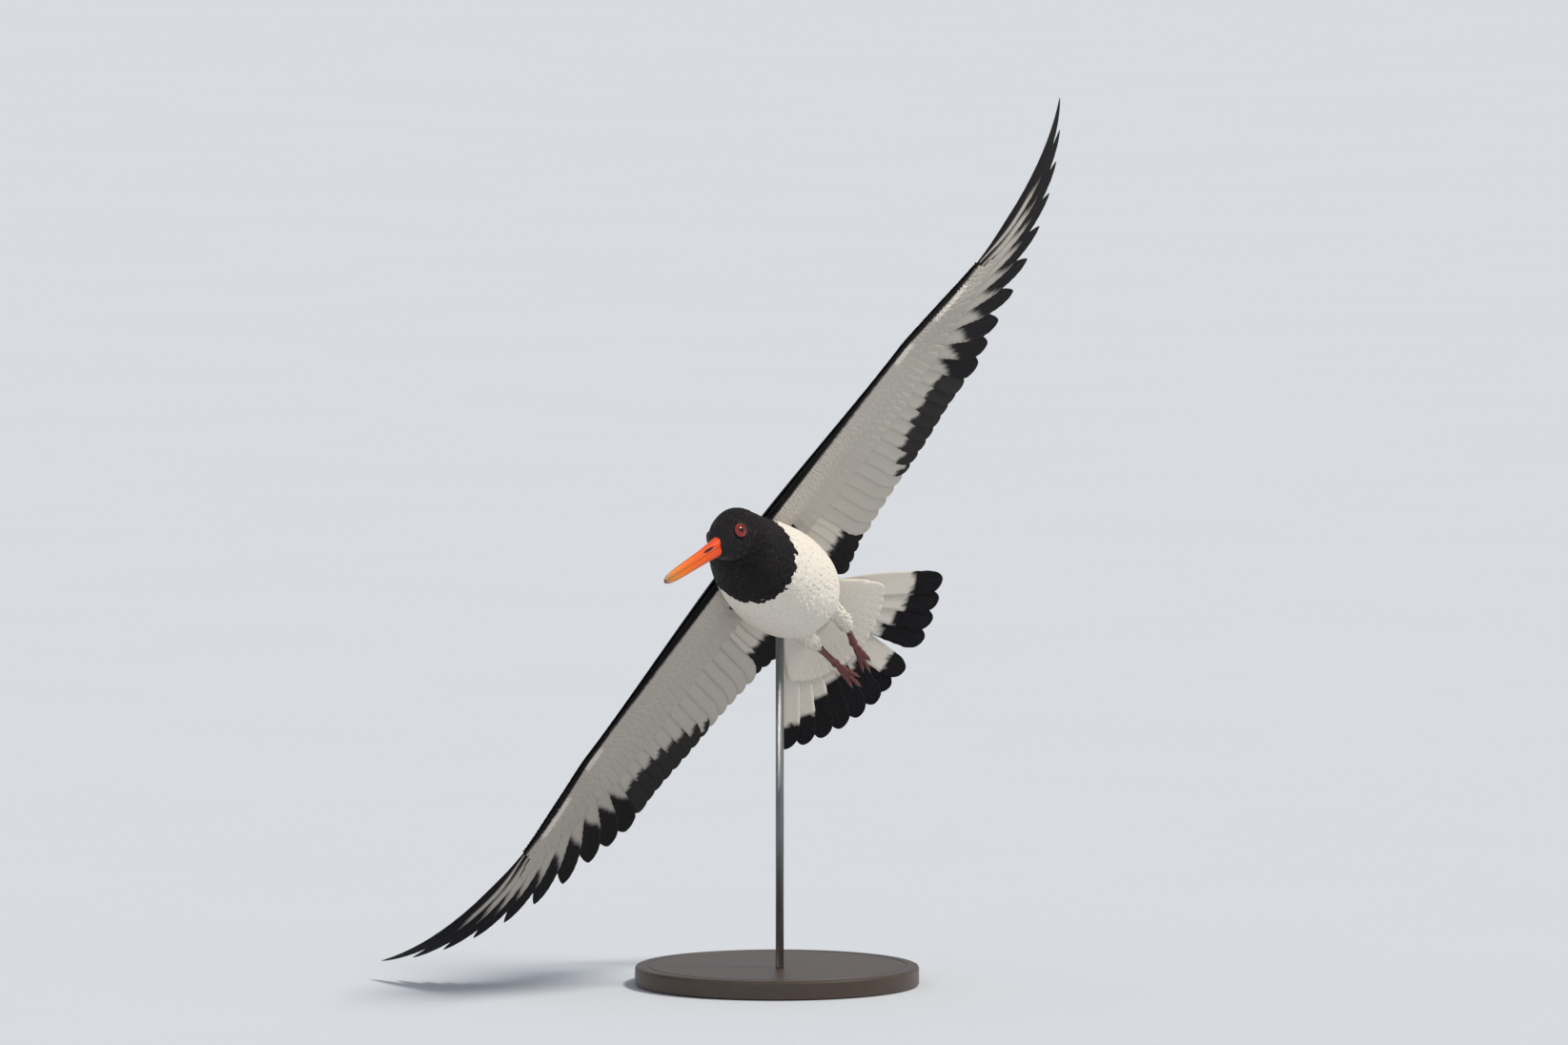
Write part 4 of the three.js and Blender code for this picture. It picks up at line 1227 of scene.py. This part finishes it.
for name, (at, axis) in EYES.items():
    to_axis = Vector((0, 0, 1)).rotation_difference(Vector(axis)).to_matrix().to_4x4()
    bm = bmesh.new()
    bmesh.ops.create_uvsphere(bm, u_segments=48, v_segments=40, radius=EYE_RADIUS)
    rings = np.array([math.acos(np.clip(v.co.z / EYE_RADIUS, -1, 1)) / (math.pi / 2) for v in bm.verts])
    bmesh.ops.transform(bm, matrix=HEAD_PLACE @ Matrix.Translation(at) @ to_axis, verts=bm.verts[:])
    eye = mesh_piece(f"glass_eye_{name}", bm, eye_glass)
    tone = np.ones((len(rings), 4))
    tone[:, 0] = np.clip(rings, 0, 1)
    paint(eye.data, tone)
    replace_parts(eye, f"eye_{name}")

    bm = bmesh.new()
    tube = bmesh.ops.create_circle(bm, segments=14, radius=LID_TUBE)
    stand_up = Matrix.Translation((LID_RADIUS, 0, 0)) @ turn("X", 90)
    bmesh.ops.transform(bm, matrix=stand_up, verts=tube["verts"])
    spun(bm, 48)
    for v in bm.verts:
        wrinkle = 1 + 0.05 * math.sin(math.atan2(v.co.y, v.co.x) * 22)
        ring_point = Vector((v.co.x, v.co.y, 0)).normalized() * LID_RADIUS
        v.co = ring_point + (v.co - ring_point) * wrinkle
        v.co.y *= 0.94
    forward = Matrix.Translation(at + axis * LID_FORWARD)
    bmesh.ops.transform(bm, matrix=HEAD_PLACE @ forward @ to_axis, verts=bm.verts[:])
    lid = mesh_piece(f"lid_{name}", bm, lid_skin)
    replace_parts(lid, f"eyelid_{name}")

# %% [markdown]
# ## Bill
# The bill is long and straight, taller than wide, orange red at the face, yellower along its
# length and dusky at the blunt tip. Each half is a ring of points drawn out from face to tip. The
# nostril is a slot pressed into the upper half and painted near black, a painted shade for the
# depth of its opening.

# %% Horn
BILL = [
    [20, 5.6, 6.6, 6.6], [31, 5, 5.8, 6.2], [43, 3.9, 5, 5.4], [58, 3.1, 4.5, 4.9],
    [72, 2.6, 4.2, 4.5], [84, 2.1, 3.7, 3.9], [93, 1.5, 2.7, 2.8], [98, 0.8, 1.3, 1.3],
]
finish = Finish("horn", Specular_IOR_Level=0.35, Subsurface_Weight=0.12, Subsurface_Scale=0.004)
finish.shader.inputs["Subsurface Radius"].default_value = (1.0, 0.35, 0.15)
lengthwise, pit = finish.mark(0), finish.mark(1)
HORN_STOPS = [
    (0.0, (0.72, 0.05, 0.002)), (0.3, (0.78, 0.085, 0.002)), (0.55, (0.76, 0.15, 0.008)),
    (0.78, (0.62, 0.21, 0.035)), (0.93, (0.32, 0.19, 0.085)), (1.0, (0.12, 0.095, 0.07)),
]
grain = finish.noise(finish.place(), 1500.0, detail=5.0)
mottle = finish.noise(finish.place(), 260.0)
ramp = finish.node("ShaderNodeValToRGB", {"stops": HORN_STOPS}, {0: lengthwise + (mottle - 0.5) * 0.1})
color = finish.blend(ramp, (0.30, 0.02, 0.006), (grain - 0.5).clamped() * 0.8)
# painted shade: the nostril's slot is painted near black, as its opening would lie in shadow
color = finish.blend(color, (0.012, 0.004, 0.003), pit)
horn = finish.use(
    Base_Color=color, Roughness=0.30 + grain * 0.16 + pit * 0.4, Normal=finish.bump(grain, 0.35, 0.00025)
)


def bill_half(name, upper, node):
    around, steps = 56, 110
    bm = bmesh.new()
    ring = bmesh.ops.create_circle(bm, segments=around, radius=1, cap_ends=False)["verts"]
    edges = bm.edges[:]
    places = {v: (math.atan2(v.co.y, v.co.x), 0.0) for v in ring}
    for step in range(1, steps + 1):
        new = bmesh.ops.extrude_edge_only(bm, edges=edges)["geom"]
        edges = [g for g in new if isinstance(g, bmesh.types.BMEdge)]
        for v in (g for g in new if isinstance(g, bmesh.types.BMVert)):
            places[v] = (math.atan2(v.co.y, v.co.x), step / steps)
    bmesh.ops.holes_fill(bm, edges=edges, sides=0)
    sign = 1 if upper else -1
    marks = []
    for v in bm.verts:
        angle, q = places[v]
        close = 1 - max(0.0, (q - 0.975) / 0.025) ** 2 * 0.75
        x, half, over, under = along(BILL, q)
        tall = over if upper else under
        rise = max(0.0, math.sin(angle) * sign)
        bulge = abs(math.cos(angle)) ** 0.9 * math.copysign(1, math.cos(angle))
        y = half * bulge * close
        z = tall * rise**0.85 * close
        tomium = 0.25 * math.exp(-(((z - 0.9) / 0.5) ** 2)) * (q < 0.9)
        y -= math.copysign(tomium, y) if z > 0 else 0
        pit = math.exp(-(((x - 38.5) / 5.6) ** 4) - ((z - 2.1) / 0.9) ** 2) if upper else 0.0
        groove = math.exp(-(((x - 44) / 16) ** 4) - ((z - 2.2) / 1.1) ** 2) if upper else 0.0
        y -= math.copysign(1.15 * pit + 0.45 * groove, y)
        ridge = 0.25 * math.exp(-((y / 1.0) ** 2)) * rise
        v.co = (x, y, sign * (0.14 + z + ridge * (q < 0.9)))
        # the second mark is the nostril's painted shade
        marks.append((q, min(1.0, 1.5 * pit), 0, 1))
    bmesh.ops.transform(bm, matrix=HEAD_PLACE, verts=bm.verts[:])
    piece = mesh_piece(name, bm, horn)
    paint(piece.data, np.array(marks, float))
    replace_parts(piece, node)


bill_half("upper_bill", True, "bill_upper")
bill_half("lower_bill", False, "bill_lower")

# %% [markdown]
# ## Legs
# In flight the legs trail under the tail with the toes together. There are three toes and no hind
# one. Net-like scales cover shin and toes, broader along the front, and the claws are dark horn.

# %% Scaled legs and dark claws
LEGS = {
    "left": {
        "hip": (-84, 9, -40), "ankle": (-106, 8, -45), "toes": (-146, -3, -46), "aim": (-38, -9, -6),
    },
    "right": {
        "hip": (-84, -19, -38), "ankle": (-106, -21, -44), "toes": (-144, -23, -46), "aim": (-40, -2, -7),
    },
}
TOES = [(0.82, -4.5), (1, 0), (0.8, 4.5)]  # share of the full length, swing aside
# share of the toe's length, rise, radius
TOE_ROWS = [
    (-0.1, 0, 0), (0, 0.2, 2.2), (0.15, -0.2, 1.75), (0.3, -0.4, 2.0), (0.42, -0.4, 1.6),
    (0.55, -0.5, 1.85), (0.7, -0.5, 1.45), (0.82, -0.3, 1.6), (0.93, 0.2, 1.1), (0.97, 0.3, 0),
]
CLAW_ROWS = [(0.88, 0.4, 0.1), (0.91, 0.5, 0.95), (0.97, 0.7, 0.85), (1.03, 0.6, 0.5), (1.08, 0.1, 0)]

finish = Finish("scaled_leg", Specular_IOR_Level=0.4, Subsurface_Weight=0.1, Subsurface_Scale=0.003)
cells = finish.node(
    "ShaderNodeTexVoronoi", {"feature": "DISTANCE_TO_EDGE"}, {"Vector": finish.place(), "Scale": 620.0}
)
edge = (1 - cells * 6).clamped()
blotch = finish.noise(finish.place(), 120.0)
color = finish.blend((0.21, 0.062, 0.053), (0.13, 0.032, 0.028), blotch)
color = finish.blend(color, (0.10, 0.02, 0.018), edge * 0.7)
leg_scales = finish.use(
    Base_Color=color, Roughness=0.46 + edge * 0.3, Normal=finish.bump(1 - edge, 0.8, 0.0004)
)
finish = Finish("claw_horn", Specular_IOR_Level=0.5, Coat_Weight=0.2)
streak = finish.noise(finish.place(), 900.0)
claw_horn = finish.use(
    Base_Color=finish.blend((0.016, 0.012, 0.011), (0.05, 0.036, 0.03), streak),
    Roughness=0.3 + streak * 0.2,
)


def leg_rows(hip, ankle, toes):
    between = [mix(np.array(ankle), np.array(toes), t) for t in (0.3, 0.8, 1.08)]
    rows = [(*hip, 4.2), (*hip, 4.2), (*ankle, 3.4)]
    return rows + [(*between[0], 2.5), (*between[1], 2.4), (*toes, 3.1), (*between[2], 0)]


def along_toe(start, tip, rows):
    return [(*(mix(start, tip, t) + np.array((0, 0, rise))), radius) for t, rise, radius in rows]


for name, leg in LEGS.items():
    toes, aim = np.array(leg["toes"], float), np.array(leg["aim"], float)
    bm, claws = bmesh.new(), bmesh.new()
    limb(bm, leg_rows(leg["hip"], leg["ankle"], leg["toes"]), 20, 60)
    for share, swing in TOES:
        tip = toes + aim * share + np.array((0, swing, 0))
        limb(bm, along_toe(toes, tip, TOE_ROWS), 14, 48)
        limb(claws, along_toe(toes, tip, CLAW_ROWS), 10, 14)
    piece = mesh_piece(f"scaled_leg_{name}", bm, leg_scales)
    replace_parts(piece, f"leg_{name}")
    mesh_piece(f"claws_{name}", claws, claw_horn)

# %% [markdown]
# ## The stand
# A turned wooden disc, stained dark, with one brushed steel rod that carries the bird from inside
# its belly. The disc is spun from its profile; its edge is rounded as a turner would leave it.

# %% Turned base and steel rod
BASE_RADIUS, BASE_HEIGHT, BASE_CHAMFER = 0.105, 0.014, 0.002
ROD_RADIUS, ROD_FOOT, ROD_TOP = 0.003, (0.002, -0.018, 0.005), 0.273
ROD_LENGTH = ROD_TOP - ROD_FOOT[2]

finish = Finish("stained_wood", Specular_IOR_Level=0.45, Coat_Weight=0.25, Coat_Roughness=0.3)
stretched = finish.node("ShaderNodeMapping", {}, {"Vector": finish.place(), "Scale": (14.0, 150.0, 150.0)})
fibres = finish.noise(stretched, 3.0, detail=8.0, rough=0.65)
rings = finish.noise(stretched, 0.6, detail=2.0)
stain = (fibres * 0.8 + rings * 0.5 - 0.25).clamped()
color = finish.blend((0.030, 0.019, 0.013), (0.085, 0.050, 0.031), stain)
wood = finish.use(Base_Color=color, Roughness=0.42 + fibres * 0.2, Normal=finish.bump(fibres, 0.3, 0.0003))
finish = Finish("brushed_steel", Metallic=1.0)
stretched = finish.node(
    "ShaderNodeMapping", {}, {"Vector": finish.place(), "Scale": (2500.0, 2500.0, 25.0)}
)
lines = finish.noise(stretched, 1.0, detail=4.0)
steel = finish.use(
    Base_Color=finish.blend((0.52, 0.53, 0.55), (0.36, 0.37, 0.39), lines),
    Roughness=0.24 + lines * 0.18,
    Normal=finish.bump(lines, 0.15, 0.0001),
)

bm = bmesh.new()
profile = [
    (0.0001, 0), (0.095, 0), (BASE_RADIUS - 0.001, 0), (BASE_RADIUS, 0.001),
    (BASE_RADIUS, BASE_HEIGHT - BASE_CHAMFER), (BASE_RADIUS - 0.0006, BASE_HEIGHT - 0.0006),
    (BASE_RADIUS - BASE_CHAMFER, BASE_HEIGHT), (0.097, BASE_HEIGHT), (0.0964, BASE_HEIGHT - 0.0006),
    (0.0952, BASE_HEIGHT - 0.0006), (0.0946, BASE_HEIGHT), (0.0001, BASE_HEIGHT),
]
points = [bm.verts.new((r, 0, z)) for r, z in profile]
for a, b in zip(points, points[1:]):
    bm.edges.new((a, b))
spun(bm, 128)
bmesh.ops.holes_fill(bm, edges=[e for e in bm.edges if e.is_boundary], sides=0)
base = mesh_piece("turned_base", bm, wood, bird_frame=False, smooth_faces=False)
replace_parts(base, "stand_base")

bm = bmesh.new()
middle = Matrix.Translation((ROD_FOOT[0], ROD_FOOT[1], (ROD_FOOT[2] + ROD_TOP) / 2))
bmesh.ops.create_cone(
    bm, cap_ends=True, segments=48, radius1=ROD_RADIUS, radius2=ROD_RADIUS,
    depth=ROD_LENGTH, matrix=middle,
)


def at_rod_end(v):
    return abs(abs(v.co.z - middle.translation.z) - ROD_LENGTH / 2) < 1e-6


rims = [e for e in bm.edges if all(at_rod_end(v) for v in e.verts)]
bmesh.ops.bevel(bm, geom=rims, offset=0.0004, segments=2, profile=0.5, affect="EDGES", material=-1)
rod = mesh_piece("steel_rod", bm, steel, bird_frame=False)
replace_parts(rod, "stand_rod")

# %% [markdown]
# ## Room, light and camera
# The floor is plain and pale. One broad light stands high on the right, where the sun is in the
# photograph. A weak one from the left and the light of the whole room fill the shade. A long lens
# from a little above keeps the photograph's flat perspective.

# %% Floor and light
finish = Finish("pale_floor", Roughness=0.85, Specular_IOR_Level=0.1)
speckle = finish.noise(finish.place(), 3.0)
floor_finish = finish.use(Base_Color=finish.blend((0.60, 0.62, 0.66), (0.585, 0.605, 0.645), speckle))
bm = bmesh.new()
bmesh.ops.create_grid(bm, x_segments=8, y_segments=8, size=60)
for v in bm.verts:
    v.co.z = -0.0004
mesh = bpy.data.meshes.new("floor")
bm.to_mesh(mesh)
bm.free()
mesh.materials.append(floor_finish)
floor = placed("floor", mesh)

world = bpy.data.worlds.new("room")
bpy.context.scene.world = world
world.use_nodes = True
background = world.node_tree.nodes["Background"].inputs
background["Color"].default_value = (0.86, 0.92, 1.0, 1)
background["Strength"].default_value = 0.5


def sun(name, towards, strength, color, angle):
    light = bpy.data.lights.new(name, "SUN")
    light.energy, light.color, light.angle = strength, color, math.radians(angle)
    lamp = placed(name, light)
    lamp.rotation_mode = "QUATERNION"
    lamp.rotation_quaternion = (-Vector(towards)).to_track_quat("-Z", "Y")


sun("key", (0.55, -0.12, 0.83), 2.7, (1.0, 0.95, 0.87), 12)
sun("fill", (-0.5, -0.8, 0.15), 0.5, (0.9, 0.95, 1.0), 60)

# %% Camera
LENS, SENSOR = 375.2, 36
camera_data = bpy.data.cameras.new("camera")
camera_data.lens, camera_data.sensor_width = LENS, SENSOR
camera_data.clip_start, camera_data.clip_end = 0.5, 200
camera = placed("camera", camera_data)
camera.location = (0.00515, -11.9975, 1.39179)
camera.rotation_euler = (math.radians(90 - VIEW_DOWN), 0, 0)
bpy.context.scene.camera = camera
bpy.context.scene.view_settings.view_transform = "Standard"
